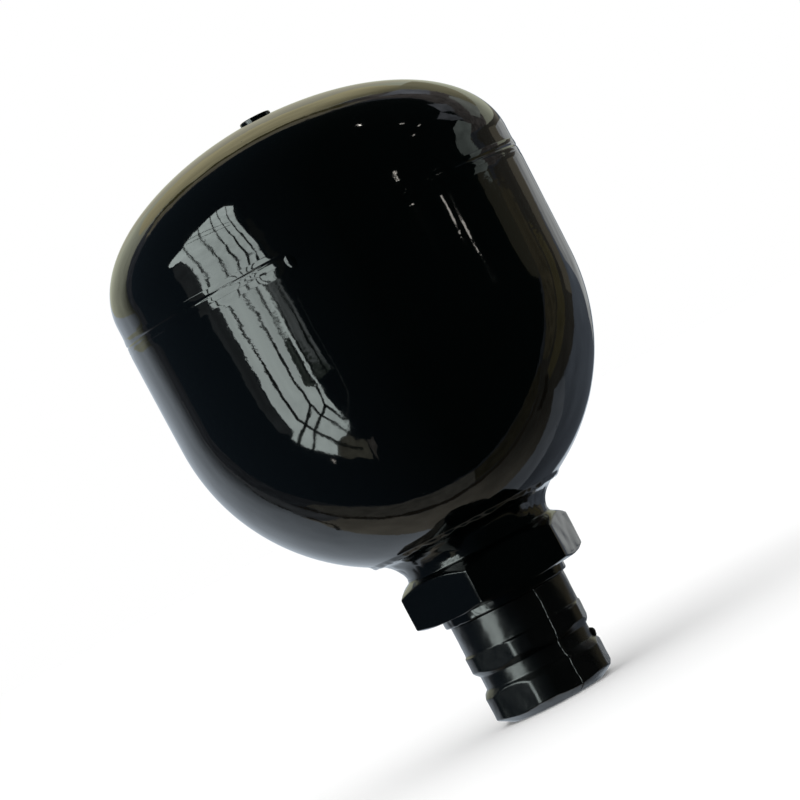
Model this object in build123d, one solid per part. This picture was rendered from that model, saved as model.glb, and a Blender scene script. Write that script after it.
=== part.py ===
"""A 0.5 litre diaphragm accumulator for hydraulic oil, fluid port down.

A domed gas half and a round-bottomed fluid half are butt-welded near the top. A forged boss with a
large wrench hexagon is welded into the bottom, and an adapter turned from hexagon bar is screwed
into it against a bonded washer. Inside, a steel ring clamps the bead of a rubber diaphragm, and a
mushroom button in its middle shuts the fluid port.

Millimetres, +Z up along the axis. The origin is the middle of the adapter's end face.
"""

from build123d import *
from math import atan, cos, degrees, radians, sin, sqrt, tan
import os

# Vessel
vessel_diameter = 105.0
wall = 5.0
dome_height = 28.7  # of the gas-side end, above the straight wall
gas_straight = 5.4  # straight wall above the seam
fluid_straight = 27.6  # straight wall below the seam
seam_width = 3.6
seam_root = 1.5  # unbevelled wall inside the weld
seam_crown = 0.3
neck_weld_radius = 24.5  # where the boss is let into the round bottom
neck_weld_width = 3.2
neck_weld_crown = 0.4

# Boss with its wrench hexagon
boss_flats = 41.0
boss_hex_height = 11.8
boss_top_slope = 30.0  # degrees, the cone above the hexagon
boss_bottom_chamfer = (2.8, 0.9)  # radial, axial
neck_radius = 18.9
flare_height = 6.2  # from the hexagon's top to the neck weld
flare_bow = 1.1  # hollow of the neck below a straight line
seat_radius = 15.2
passage_radius = 6.0
boss_thread_radius = 12.0  # M24 x 1.5
boss_thread_depth = 13.5
thread_clearance = 0.05

# Adapter, from the end face up
adapter_flats = 30.0
corner_height = 0.85  # of the turned-down corners past the barrel
end_face_radius = 12.2
end_chamfer_height = 2.3
end_hex_height = 8.0
groove_radius = 14.3
groove_floor = 3.4
ring_height = 4.1
ring_top_bevel = 0.4
shoulder_width = 3.2  # of the barrel past the stud's thread
barrel_length = 8.0
barrel_bevel = 0.4
adapter_clocking = 6.5  # degrees that it stopped round from the boss's flats
stud_length = 12.0
stud_chamfer = 1.0
port_radius = 8.19  # core of M18 x 1.5
port_depth = 14.0
port_mouth_radius = 9.2
drill_point = 118.0

# Bonded washer between adapter and boss
washer_overhang = 1.1  # past the barrel
washer_bore_gap = 1.0  # round the stud's thread
washer_thickness = 2.4
washer_lip_gap = 0.2  # round the stud's thread
washer_lip_recess = 0.15

# Diaphragm and its clamp ring
diaphragm_thickness = 2.0
diaphragm_gap = 0.3
bead_height = 5.8
bead_width = 4.3
bead_rounding = 1.2
clamp_wall = 1.6
clamp_fit = 0.05
clamp_band_height = 8.0
clamp_below_seam = 3.5
clamp_lip_length = 5.0
soft_gap = 0.25

# Button that shuts the port
button_radius = 13.2
button_thickness = 2.6
button_edge = 0.6
button_lift = 0.1
stem_radius = 4.1
head_radius = 6.8
head_height = 2.0
pad_radius = 13.0
pad_thickness = 2.6
pad_blend_radius = 20.0
pad_rim_radius = 15.2

# Gas screw on top
screw_radius = 4.0  # M8 x 1
screw_above_dome = 1.1
screw_length = 11.0
screw_top_bevel = 0.4
screw_point_height = 2.0
socket_flats = 4.0
socket_depth = 4.0
gas_boss_radius = 9.0
gas_boss_depth = 6.5  # below the inner face of the dome
gas_passage_radius = 1.6
o_ring_section = 1.6
o_ring_inner_radius = 2.5
o_ring_groove_height = 2.0
o_ring_below_top = 4.6

overrun = 1.0  # of a cut past the face that it leaves by

# Places along the axis
outer_radius = vessel_diameter / 2
inner_radius = outer_radius - wall
barrel_radius = boss_thread_radius + shoulder_width
adapter_corner_radius = barrel_radius + corner_height
washer_radius = barrel_radius + washer_overhang
washer_bore_radius = boss_thread_radius + washer_bore_gap
washer_lip_radius = boss_thread_radius + washer_lip_gap
ring_bottom = end_hex_height + groove_floor + 2 * (adapter_corner_radius - groove_radius)
ring_top = ring_bottom + ring_height
shoulder_z = ring_top + barrel_length
boss_bottom_z = shoulder_z + washer_thickness
boss_top_z = boss_bottom_z + boss_hex_height
weld_angle = degrees(atan(neck_weld_radius / sqrt(outer_radius**2 - neck_weld_radius**2)))
weld_half_angle = degrees(neck_weld_width / 2 / outer_radius)
centre_z = boss_top_z + flare_height + outer_radius * cos(radians(weld_angle - weld_half_angle))
seam_z = centre_z + fluid_straight
dome_z = seam_z + gas_straight
apex_z = dome_z + dome_height
seat_z = centre_z - sqrt(inner_radius**2 - seat_radius**2)
clamp_z = seam_z - clamp_below_seam


def turned(*edges):
    """A solid of revolution about Z, from the edges of its (radius, height) section."""
    section = make_face(Wire(list(edges)))
    return revolve(Plane.XZ * section, Axis.Z)


def outline(*points):
    """The straight edges that join a section's points, open at the end."""
    return [Line(a, b) for a, b in zip(points, points[1:])]


def closed(*points):
    """The straight edges that join a section's points and return to the first."""
    return outline(*points, points[0])


def below_centre(radius, angle):
    """The section's point that lies that far from the bottom's centre, that many degrees off the axis."""
    return (radius * sin(radians(angle)), centre_z - radius * cos(radians(angle)))


def bottom_arc(radius, from_angle, to_angle):
    """An arc about the bottom's centre, between two angles off the axis."""
    middle = (from_angle + to_angle) / 2
    return ThreePointArc(*(below_centre(radius, a) for a in (from_angle, middle, to_angle)))


def off_axis(radius, distance):
    """The angle at which an arc of that radius lies that far from the axis."""
    return degrees(atan(distance / sqrt(radius**2 - distance**2)))


def hexagon_bar(across_flats, bottom, top, turn=0.0):
    """A hexagonal bar about Z, with a corner on +X before it is turned."""
    section = RegularPolygon(across_flats / 2, 6, major_radius=False, rotation=turn)
    return extrude(Plane.XY.offset(bottom) * section, top - bottom)


def bore(radius, bottom, top):
    """A round bar about Z, for cutting."""
    return Pos(0, 0, bottom) * Cylinder(radius, top - bottom, align=(Align.CENTER, Align.CENTER, Align.MIN))


def drilled(radius, bottom, top, narrow):
    """A drilled hole for cutting, whose point at the top ends at a narrower bore."""
    tip = top + (radius - narrow) / tan(radians(drill_point / 2))
    return turned(*closed((0, bottom), (radius, bottom), (radius, top), (narrow, tip), (0, tip)))


def lower_shell():
    """The fluid half: straight wall, round bottom, both edges bevelled for welding."""
    root = inner_radius + seam_root
    seam_edge = seam_z - seam_width / 2
    neck_edge = weld_angle + weld_half_angle
    outside = [
        Line(below_centre(root, weld_angle), below_centre(outer_radius, neck_edge)),
        bottom_arc(outer_radius, neck_edge, 90),
        *outline((outer_radius, centre_z), (outer_radius, seam_edge), (root, seam_z)),
        Line((root, seam_z), (inner_radius, seam_z)),
    ]
    inside = [
        Line((inner_radius, seam_z), (inner_radius, centre_z)),
        bottom_arc(inner_radius, 90, weld_angle),
        Line(below_centre(inner_radius, weld_angle), below_centre(root, weld_angle)),
    ]
    return turned(*outside, *inside)


def upper_shell():
    """The gas half: a flattened dome with an inner boss for the gas screw."""
    root = inner_radius + seam_root
    seam_edge = seam_z + seam_width / 2
    outside = [
        *outline((inner_radius, seam_z), (root, seam_z), (outer_radius, seam_edge), (outer_radius, dome_z)),
        EllipticalCenterArc((0, dome_z), outer_radius, dome_height, 0, arc_size=90),
    ]
    inner_height = dome_height - wall
    inside = [
        Line((0, apex_z), (0, dome_z + inner_height)),
        EllipticalCenterArc((0, dome_z), inner_radius, inner_height, 0, arc_size=90),
        Line((inner_radius, dome_z), (inner_radius, seam_z)),
    ]
    shell = turned(*outside, *inside)
    boss_bottom = apex_z - wall - gas_boss_depth
    shell += bore(gas_boss_radius, boss_bottom, apex_z - wall / 2)
    screw_tip = apex_z + screw_above_dome - screw_length
    fit = screw_radius + thread_clearance
    seat_bottom = screw_tip - thread_clearance
    shell -= turned(
        *closed(
            (0, seat_bottom),
            (gas_passage_radius, seat_bottom),
            (fit, seat_bottom + screw_point_height),
            (fit, apex_z + wall),
            (0, apex_z + wall),
        )
    )
    return shell - bore(gas_passage_radius, boss_bottom - overrun, seat_bottom + overrun)


def shell_weld_bead():
    """The weld metal between the two halves, a little proud of the wall."""
    root = (inner_radius + seam_root, seam_z)
    low = (outer_radius, seam_z - seam_width / 2)
    high = (outer_radius, seam_z + seam_width / 2)
    crown = (outer_radius + seam_crown, seam_z)
    return turned(Line(root, low), ThreePointArc(low, crown, high), Line(high, root))


def neck_weld_bead():
    """The weld metal between the round bottom and the boss."""
    root = below_centre(inner_radius + seam_root, weld_angle)
    low = below_centre(outer_radius, weld_angle - weld_half_angle)
    high = below_centre(outer_radius, weld_angle + weld_half_angle)
    crown = below_centre(outer_radius + neck_weld_crown, weld_angle)
    return turned(Line(root, low), ThreePointArc(low, crown, high), Line(high, root))


def port_boss():
    """The forged boss: hollow-flared neck, wrench hexagon, button seat, passage and thread."""
    corner = boss_flats / 2 / cos(radians(30))
    slope_drop = (corner - neck_radius) * tan(radians(boss_top_slope))
    radial, axial = boss_bottom_chamfer
    hexagon = hexagon_bar(boss_flats, boss_bottom_z, boss_top_z) & turned(
        *closed(
            (0, boss_bottom_z),
            (corner - radial, boss_bottom_z),
            (corner, boss_bottom_z + axial),
            (corner, boss_top_z - slope_drop),
            (neck_radius, boss_top_z),
            (0, boss_top_z),
        )
    )
    flare_top = below_centre(outer_radius, weld_angle - weld_half_angle)
    flare_middle = (
        (flare_top[0] + neck_radius) / 2 - flare_bow,
        (flare_top[1] + boss_top_z) / 2 + flare_bow / 2,
    )
    seat_angle = off_axis(inner_radius, seat_radius)
    neck = turned(
        Line((0, boss_top_z), (neck_radius, boss_top_z)),
        ThreePointArc((neck_radius, boss_top_z), flare_middle, flare_top),
        *outline(
            flare_top,
            below_centre(inner_radius + seam_root, weld_angle),
            below_centre(inner_radius, weld_angle),
        ),
        bottom_arc(inner_radius, weld_angle, seat_angle),
        *outline((seat_radius, seat_z), (0, seat_z), (0, boss_top_z)),
    )
    thread_radius = boss_thread_radius + thread_clearance
    thread_top = boss_bottom_z + boss_thread_depth
    boss = hexagon + neck
    boss -= drilled(thread_radius, boss_bottom_z - overrun, thread_top, passage_radius)
    return boss - bore(passage_radius, thread_top, seat_z + overrun)


def port_adapter():
    """The adapter: two chamfered hexagon lands with a waist between, a barrel, a stud and the port."""
    corner = adapter_corner_radius
    flank = corner - groove_radius
    groove_bottom = end_hex_height + flank
    groove_top = groove_bottom + groove_floor
    stud_top = shoulder_z + stud_length
    blank = turned(
        *closed(
            (0, 0),
            (end_face_radius, 0),
            (corner, end_chamfer_height),
            (corner, end_hex_height),
            (groove_radius, groove_bottom),
            (groove_radius, groove_top),
            (corner, ring_bottom),
            (corner, ring_top - ring_top_bevel),
            (corner - ring_top_bevel, ring_top),
            (0, ring_top),
        )
    )
    lands = blank & hexagon_bar(adapter_flats, 0, ring_top, adapter_clocking)
    barrel = turned(
        *closed(
            (0, ring_top),
            (barrel_radius, ring_top),
            (barrel_radius, shoulder_z - barrel_bevel),
            (barrel_radius - barrel_bevel, shoulder_z),
            (boss_thread_radius, shoulder_z),
            (boss_thread_radius, stud_top - stud_chamfer),
            (boss_thread_radius - stud_chamfer, stud_top),
            (0, stud_top),
        )
    )
    adapter = lands + barrel
    adapter -= bore(passage_radius, port_depth, stud_top + overrun)
    adapter -= drilled(port_radius, -overrun, port_depth, passage_radius)
    mouth = port_mouth_radius - port_radius
    return adapter - turned(
        *closed(
            (0, -overrun),
            (port_mouth_radius, -overrun),
            (port_mouth_radius, 0),
            (port_radius, mouth),
            (0, mouth),
        )
    )


def washer_ring():
    """The steel ring of the bonded washer."""
    disc = bore(washer_radius, shoulder_z, boss_bottom_z)
    return disc - bore(washer_bore_radius, shoulder_z, boss_bottom_z)


def washer_lip():
    """The rubber lip bonded inside the washer, a little thinner than the steel and bowed to the stud."""
    low = shoulder_z + washer_lip_recess
    high = boss_bottom_z - washer_lip_recess
    inner = washer_lip_radius + washer_lip_recess
    middle = (washer_lip_radius, (low + high) / 2)
    return turned(
        *outline((inner, low), (washer_bore_radius, low), (washer_bore_radius, high), (inner, high)),
        ThreePointArc((inner, high), middle, (inner, low)),
    )


def clamp_ring():
    """The ring that backs the seam weld and hooks over the diaphragm's bead."""
    outer = inner_radius - clamp_fit
    lip_outer = inner_radius - diaphragm_gap - bead_width - soft_gap
    lip_inner = lip_outer - clamp_wall
    under = clamp_z + clamp_wall
    return turned(
        *closed(
            (lip_inner, clamp_z - clamp_lip_length),
            (lip_outer, clamp_z - clamp_lip_length),
            (lip_outer, clamp_z),
            (outer, clamp_z),
            (outer, clamp_z + clamp_band_height),
            (outer - clamp_wall, clamp_z + clamp_band_height),
            (outer - clamp_wall, under),
            (lip_inner, under),
        )
    )


def diaphragm():
    """The moulded diaphragm on the fluid side, with a bead at its rim and a pad for the button."""
    outer = inner_radius - diaphragm_gap
    inner = outer - diaphragm_thickness
    bead_top = clamp_z - soft_gap
    bead_bottom = bead_top - bead_height
    bead_inner = outer - bead_width
    pad_bottom = seat_z + button_lift + button_thickness + soft_gap
    pad_top = pad_bottom + pad_thickness
    recess = button_radius + 2 * soft_gap
    stem_hole = stem_radius + soft_gap
    rim_angle = off_axis(outer, pad_rim_radius)
    blend_angle = off_axis(inner, pad_blend_radius)
    rim = below_centre(outer, rim_angle)
    blend = below_centre(inner, blend_angle)
    round_start = bead_top - bead_rounding
    round_in = bead_rounding * (1 - cos(radians(45)))
    outside = [
        Line((bead_inner + bead_rounding, bead_top), (outer, bead_top)),
        Line((outer, bead_top), (outer, centre_z)),
        bottom_arc(outer, 90, rim_angle),
        *outline(rim, (recess, rim[1] + soft_gap), (recess, pad_bottom), (stem_hole, pad_bottom)),
    ]
    inside = [
        *outline((stem_hole, pad_bottom), (stem_hole, pad_top), (pad_radius, pad_top), blend),
        bottom_arc(inner, blend_angle, 90),
        *outline((inner, centre_z), (inner, bead_bottom - bead_rounding), (bead_inner, bead_bottom)),
        Line((bead_inner, bead_bottom), (bead_inner, round_start)),
        ThreePointArc(
            (bead_inner, round_start),
            (bead_inner + round_in, bead_top - round_in),
            (bead_inner + bead_rounding, bead_top),
        ),
    ]
    return turned(*outside, *inside)


def closing_button():
    """The mushroom button that the diaphragm presses on the port's seat."""
    low = seat_z + button_lift
    disc_top = low + button_thickness
    head_low = disc_top + pad_thickness + 2 * soft_gap
    return turned(
        *closed(
            (0, low),
            (button_radius - button_edge, low),
            (button_radius, low + button_edge),
            (button_radius, disc_top),
            (stem_radius, disc_top),
            (stem_radius, head_low),
            (head_radius, head_low),
            (head_radius, head_low + head_height / 2),
            (head_radius / 2, head_low + head_height),
            (0, head_low + head_height),
        )
    )


def charging_screw():
    """The gas screw: hexagon socket, O-ring groove and a conical sealing point."""
    top = apex_z + screw_above_dome
    tip = top - screw_length
    groove_top = top - o_ring_below_top
    groove_bottom = groove_top - o_ring_groove_height
    screw = turned(
        *closed(
            (0, tip),
            (gas_passage_radius, tip),
            (screw_radius, tip + screw_point_height),
            (screw_radius, groove_bottom),
            (o_ring_inner_radius, groove_bottom),
            (o_ring_inner_radius, groove_top),
            (screw_radius, groove_top),
            (screw_radius, top - screw_top_bevel),
            (screw_radius - screw_top_bevel, top),
            (0, top),
        )
    )
    return screw - hexagon_bar(socket_flats, top - socket_depth, top + overrun)


def charging_screw_o_ring():
    """The O-ring in the gas screw's groove, squeezed to the bore."""
    middle = apex_z + screw_above_dome - o_ring_below_top - o_ring_groove_height / 2
    radial = screw_radius + thread_clearance - o_ring_inner_radius
    section = Ellipse(radial / 2, o_ring_section / 2)
    return revolve(Plane.XZ * Pos(o_ring_inner_radius + radial / 2, middle) * section, Axis.Z)


parts = {
    "upper_shell": upper_shell,
    "lower_shell": lower_shell,
    "shell_weld_bead": shell_weld_bead,
    "neck_weld_bead": neck_weld_bead,
    "port_boss": port_boss,
    "port_adapter": port_adapter,
    "washer_ring": washer_ring,
    "washer_lip": washer_lip,
    "clamp_ring": clamp_ring,
    "diaphragm": diaphragm,
    "closing_button": closing_button,
    "charging_screw": charging_screw,
    "charging_screw_o_ring": charging_screw_o_ring,
}

os.makedirs("parts", exist_ok=True)
for name, build in parts.items():
    export_step(build(), f"parts/{name}.step")
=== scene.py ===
"""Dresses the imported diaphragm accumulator: a round steel vessel under thick gloss black enamel.

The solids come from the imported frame. The visible ones are replaced by denser meshes with the same
form, which also carry what the spray gun and the welder left: runs, sags, nibs and weld ripples.
Sizes in the classes are millimetres, and meshes are written in metres.
"""

import logging
from dataclasses import dataclass, field
from enum import Enum
from math import asin, atan2, cos, degrees, hypot, pi, radians, sin, sqrt, tan

import bmesh
import bpy
import numpy as np
from mathutils import Matrix, Vector


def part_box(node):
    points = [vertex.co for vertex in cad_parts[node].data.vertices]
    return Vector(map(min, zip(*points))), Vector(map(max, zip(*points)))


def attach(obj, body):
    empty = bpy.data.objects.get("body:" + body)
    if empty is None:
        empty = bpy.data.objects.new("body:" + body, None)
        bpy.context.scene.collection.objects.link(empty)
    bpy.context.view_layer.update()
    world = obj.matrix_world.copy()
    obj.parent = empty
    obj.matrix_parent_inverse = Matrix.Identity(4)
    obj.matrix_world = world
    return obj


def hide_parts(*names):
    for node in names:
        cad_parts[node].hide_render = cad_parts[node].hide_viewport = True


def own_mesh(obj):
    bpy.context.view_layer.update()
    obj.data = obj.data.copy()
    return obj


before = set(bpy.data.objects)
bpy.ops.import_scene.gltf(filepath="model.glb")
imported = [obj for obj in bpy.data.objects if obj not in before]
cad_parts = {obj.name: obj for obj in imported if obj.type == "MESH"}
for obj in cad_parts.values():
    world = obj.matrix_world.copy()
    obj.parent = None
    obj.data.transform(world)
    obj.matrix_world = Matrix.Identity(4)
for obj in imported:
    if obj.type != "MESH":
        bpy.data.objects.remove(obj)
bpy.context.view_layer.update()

MM = 0.001
LOG = logging.getLogger("accumulator")

Point = tuple[float, float]


class Body(Enum):
    """The two rigid bodies of the frame."""

    VESSEL = "vessel"
    BUTTON = "button"


class Slot(Enum):
    """The record's finishes, as the pieces name them."""

    SHELL = "black_paint"
    ADAPTER = "adapter_paint"
    WASHER = "washer_steel"
    SCREW = "screw_paint"
    CLAMP = "clamp_steel"
    BUTTON = "button_aluminium"
    DIAPHRAGM = "diaphragm_rubber"
    SEAL = "seal_rubber"


def linear(colour: str) -> tuple[float, float, float, float]:
    """Turns an sRGB hex colour into linear values.

    Args:
        colour: Six hex digits after a hash.

    Returns:
        Red, green, blue and an alpha of one.
    """
    channels = [int(colour[i : i + 2], 16) / 255 for i in (1, 3, 5)]
    curved = [c / 12.92 if c <= 0.04045 else ((c + 0.055) / 1.055) ** 2.4 for c in channels]
    return (*curved, 1.0)


def add_node(
    tree: bpy.types.NodeTree,
    kind: str,
    settings: dict[str, object] | None = None,
    links: dict[str | int, bpy.types.NodeSocket] | None = None,
) -> bpy.types.Node:
    """Adds a shader node with its settings and links.

    Args:
        tree: The node tree of a material or a world.
        kind: The node's Blender type, without the ShaderNode in front.
        settings: Values by attribute name or, where there is none, by input name.
        links: Sockets that feed the node's inputs, by input name or number.

    Returns:
        The new node.
    """
    node = tree.nodes.new("ShaderNode" + kind)
    for key, value in (settings or {}).items():
        if hasattr(node, key):
            setattr(node, key, value)
        else:
            node.inputs[key].default_value = value
    for key, socket in (links or {}).items():
        tree.links.new(socket, node.inputs[key])
    return node


def new_surface(name: str) -> tuple[bpy.types.Material, bpy.types.NodeTree]:
    """Makes an empty material.

    Args:
        name: The material's name.

    Returns:
        The material and its node tree, cleared.
    """
    material = bpy.data.materials.new(name)
    material.use_nodes = True
    material.node_tree.nodes.clear()
    return material, material.node_tree


@dataclass(frozen=True)
class SprayedEnamel:
    """Black alkyd enamel, sprayed thick over steel and stoved.

    The eye gets a mirror in a black glaze whose reflections wander: orange peel bends them, dust
    nibs prick them, and handling leaves faint dull smears.
    """

    name: str
    colour: str = "#010202"
    roughness: float = 0.035
    smear: float = 0.05  # added to the roughness where hands have been
    ior: float = 1.5
    peel_mm: float = 6.0  # from one swell of the orange peel to the next
    peel_depth_mm: float = 0.035
    fine_mm: float = 1.3
    fine_depth_mm: float = 0.012  # where it is at its worst
    patch_mm: float = 11.0  # from one rougher patch to the next
    nib_spacing_mm: float = 9.0
    nib_radius_mm: float = 0.35
    nib_height_mm: float = 0.05

    def build(self) -> bpy.types.Material:
        """Makes the material.

        Returns:
            The enamel, patterned in the object's own metres.
        """
        material, tree = new_surface(self.name)
        place = add_node(tree, "TexCoord").outputs["Object"]
        swell = add_node(
            tree, "TexNoise", {"Scale": 1 / (self.peel_mm * MM), "Detail": 1.5, "Roughness": 0.45}, {"Vector": place}
        )
        fine = add_node(
            tree, "TexNoise", {"Scale": 1 / (self.fine_mm * MM), "Detail": 2.0, "Roughness": 0.5}, {"Vector": place}
        )
        cell = add_node(
            tree, "TexVoronoi", {"Scale": 1 / (self.nib_spacing_mm * MM), "Randomness": 1.0}, {"Vector": place}
        )
        reach = self.nib_radius_mm / self.nib_spacing_mm
        nib = add_node(
            tree,
            "MapRange",
            {"interpolation_type": "SMOOTHSTEP", "From Min": 0.0, "From Max": reach, "To Min": 1.0, "To Max": 0.0},
            {"Value": cell.outputs["Distance"]},
        )
        cloud = add_node(
            tree, "TexNoise", {"Scale": 1 / (self.patch_mm * MM), "Detail": 2.0, "Roughness": 0.6}, {"Vector": place}
        )
        patch = add_node(
            tree,
            "MapRange",
            {"From Min": 0.36, "From Max": 0.68, "To Min": 0.12, "To Max": 1.0},
            {"Value": cloud.outputs["Fac"]},
        )
        swelled = add_node(
            tree, "Bump", {"Strength": 1.0, "Distance": self.peel_depth_mm * MM}, {"Height": swell.outputs["Fac"]}
        )
        peeled = add_node(
            tree,
            "Bump",
            {"Distance": self.fine_depth_mm * MM},
            {
                "Height": fine.outputs["Fac"],
                "Strength": patch.outputs["Result"],
                "Normal": swelled.outputs["Normal"],
            },
        )
        bumps = add_node(
            tree,
            "Bump",
            {"Strength": 1.0, "Distance": self.nib_height_mm * MM},
            {"Height": nib.outputs["Result"], "Normal": peeled.outputs["Normal"]},
        )
        hands = add_node(tree, "TexNoise", {"Scale": 1 / 0.022, "Detail": 5.0, "Roughness": 0.62}, {"Vector": place})
        dulled = add_node(
            tree,
            "MapRange",
            {
                "From Min": 0.48,
                "From Max": 0.72,
                "To Min": self.roughness,
                "To Max": self.roughness + self.smear,
            },
            {"Value": hands.outputs["Fac"]},
        )
        shader = add_node(
            tree,
            "BsdfPrincipled",
            {"Base Color": linear(self.colour), "IOR": self.ior},
            {"Roughness": dulled.outputs["Result"], "Normal": bumps.outputs["Normal"]},
        )
        add_node(tree, "OutputMaterial", links={"Surface": shader.outputs["BSDF"]})
        return material


@dataclass(frozen=True)
class TurnedMetal:
    """Metal left as the lathe cut it.

    The eye gets fine rings round the axis that break a highlight into a soft grey band.
    """

    name: str
    colour: str
    roughness: float = 0.32
    feed_mm: float = 0.35  # drawn coarser than the real feed of 0.1 so that it shows
    feed_depth_mm: float = 0.006
    stain: float = 0.12

    def build(self) -> bpy.types.Material:
        """Makes the material.

        Returns:
            The turned metal, with its rings round Z.
        """
        material, tree = new_surface(self.name)
        place = add_node(tree, "TexCoord").outputs["Object"]
        rings = add_node(
            tree,
            "TexWave",
            {"wave_type": "BANDS", "bands_direction": "Z", "Scale": 0.05 / (self.feed_mm * MM), "Distortion": 0.4},
            {"Vector": place},
        )
        cloud = add_node(tree, "TexNoise", {"Scale": 1 / 0.004, "Detail": 5.0}, {"Vector": place})
        bump = add_node(
            tree, "Bump", {"Strength": 1.0, "Distance": self.feed_depth_mm * MM}, {"Height": rings.outputs["Fac"]}
        )
        rough = add_node(
            tree,
            "MapRange",
            {"To Min": self.roughness, "To Max": self.roughness + self.stain},
            {"Value": cloud.outputs["Fac"]},
        )
        bright, dark = linear(self.colour), tuple(c * 0.7 for c in linear(self.colour)[:3]) + (1.0,)
        tone = add_node(
            tree, "Mix", {"data_type": "RGBA"}, {0: cloud.outputs["Fac"]}
        )
        tone.inputs[6].default_value = dark
        tone.inputs[7].default_value = bright
        shader = add_node(
            tree,
            "BsdfPrincipled",
            {"Metallic": 1.0},
            {"Base Color": tone.outputs[2], "Roughness": rough.outputs["Result"], "Normal": bump.outputs["Normal"]},
        )
        add_node(tree, "OutputMaterial", links={"Surface": shader.outputs["BSDF"]})
        return material


@dataclass(frozen=True)
class MouldedRubber:
    """Nitrile rubber from a steel mould.

    The eye gets a soft dark grey with a fine pebble and a faint bloom of wax.
    """

    name: str
    colour: str = "#1b1b1c"
    roughness: float = 0.62
    grain_mm: float = 0.5
    grain_depth_mm: float = 0.02

    def build(self) -> bpy.types.Material:
        """Makes the material.

        Returns:
            The rubber, with its grain and bloom.
        """
        material, tree = new_surface(self.name)
        place = add_node(tree, "TexCoord").outputs["Object"]
        grain = add_node(tree, "TexNoise", {"Scale": 1 / (self.grain_mm * MM), "Detail": 3.0}, {"Vector": place})
        bloom = add_node(tree, "TexNoise", {"Scale": 1 / 0.012, "Detail": 4.0}, {"Vector": place})
        bump = add_node(
            tree, "Bump", {"Strength": 1.0, "Distance": self.grain_depth_mm * MM}, {"Height": grain.outputs["Fac"]}
        )
        tone = add_node(tree, "Mix", {"data_type": "RGBA"}, {0: bloom.outputs["Fac"]})
        tone.inputs[6].default_value = linear(self.colour)
        tone.inputs[7].default_value = tuple(c * 1.7 for c in linear(self.colour)[:3]) + (1.0,)
        shader = add_node(
            tree,
            "BsdfPrincipled",
            {"Roughness": self.roughness, "IOR": 1.52},
            {"Base Color": tone.outputs[2], "Normal": bump.outputs["Normal"]},
        )
        add_node(tree, "OutputMaterial", links={"Surface": shader.outputs["BSDF"]})
        return material


@dataclass
class Paintshop:
    """Every finish, made once."""

    shell: bpy.types.Material = field(default_factory=SprayedEnamel("black enamel on the vessel").build)
    neck: bpy.types.Material = field(
        default_factory=SprayedEnamel(
            "black enamel on the neck",
            roughness=0.09,
            smear=0.07,
            peel_mm=3.2,
            peel_depth_mm=0.02,
            fine_mm=0.9,
            nib_spacing_mm=6.0,
        ).build
    )
    adapter: bpy.types.Material = field(
        default_factory=SprayedEnamel(
            "thinner black enamel on the adapter",
            roughness=0.22,
            smear=0.1,
            peel_mm=2.6,
            peel_depth_mm=0.012,
            fine_mm=0.8,
            fine_depth_mm=0.008,
            nib_spacing_mm=6.0,
        ).build
    )
    port_steel: bpy.types.Material = field(
        default_factory=TurnedMetal("machined steel in the port", "#8d8f90").build
    )
    ring_steel: bpy.types.Material = field(default_factory=TurnedMetal("turned ring steel", "#9a9b9c").build)
    button: bpy.types.Material = field(
        default_factory=TurnedMetal("turned aluminium", "#c4c6c8", roughness=0.28).build
    )
    diaphragm: bpy.types.Material = field(default_factory=MouldedRubber("moulded nitrile diaphragm").build)
    seal: bpy.types.Material = field(
        default_factory=MouldedRubber("moulded nitrile seal", "#161616", grain_mm=0.3, grain_depth_mm=0.01).build
    )


def ripples(points: np.ndarray, wavelength: float, seed: int, waves: int = 16) -> np.ndarray:
    """Smooth seeded noise, the same on every run and in every piece that shares the seed.

    Args:
        points: Places in millimetres, the last axis holding x, y and z.
        wavelength: Typical distance from crest to crest, in millimetres.
        seed: Picks the pattern.
        waves: How many plane waves are summed.

    Returns:
        Values of about -1 to 1, one for each point.
    """
    rng = np.random.default_rng(seed)
    heading = rng.normal(size=(waves, 3))
    heading /= np.linalg.norm(heading, axis=1, keepdims=True)
    length = wavelength * rng.uniform(0.75, 1.5, waves)
    phase = rng.uniform(0, 2 * pi, waves)
    total = np.zeros(points.shape[:-1])
    for way, span, start in zip(heading, length, phase):
        total += np.sin(points @ way * (2 * pi / span) + start)
    return total / sqrt(waves / 2) / 1.6


def bump_at(distance: np.ndarray, width: float) -> np.ndarray:
    """A round hump of height one at a distance of nought.

    Args:
        distance: How far each point lies from the crest.
        width: The distance at which the hump has fallen to 0.6.

    Returns:
        The hump's height at each point.
    """
    return np.exp(-0.5 * (distance / width) ** 2)


def ease(value: np.ndarray, start: float, end: float) -> np.ndarray:
    """A smooth step from nought at start to one at end.

    Args:
        value: Where to measure it.
        start: Where the step begins.
        end: Where it ends, on either side of start.

    Returns:
        Values of nought to one.
    """
    t = np.clip((value - start) / (end - start), 0, 1)
    return t * t * (3 - 2 * t)


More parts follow.
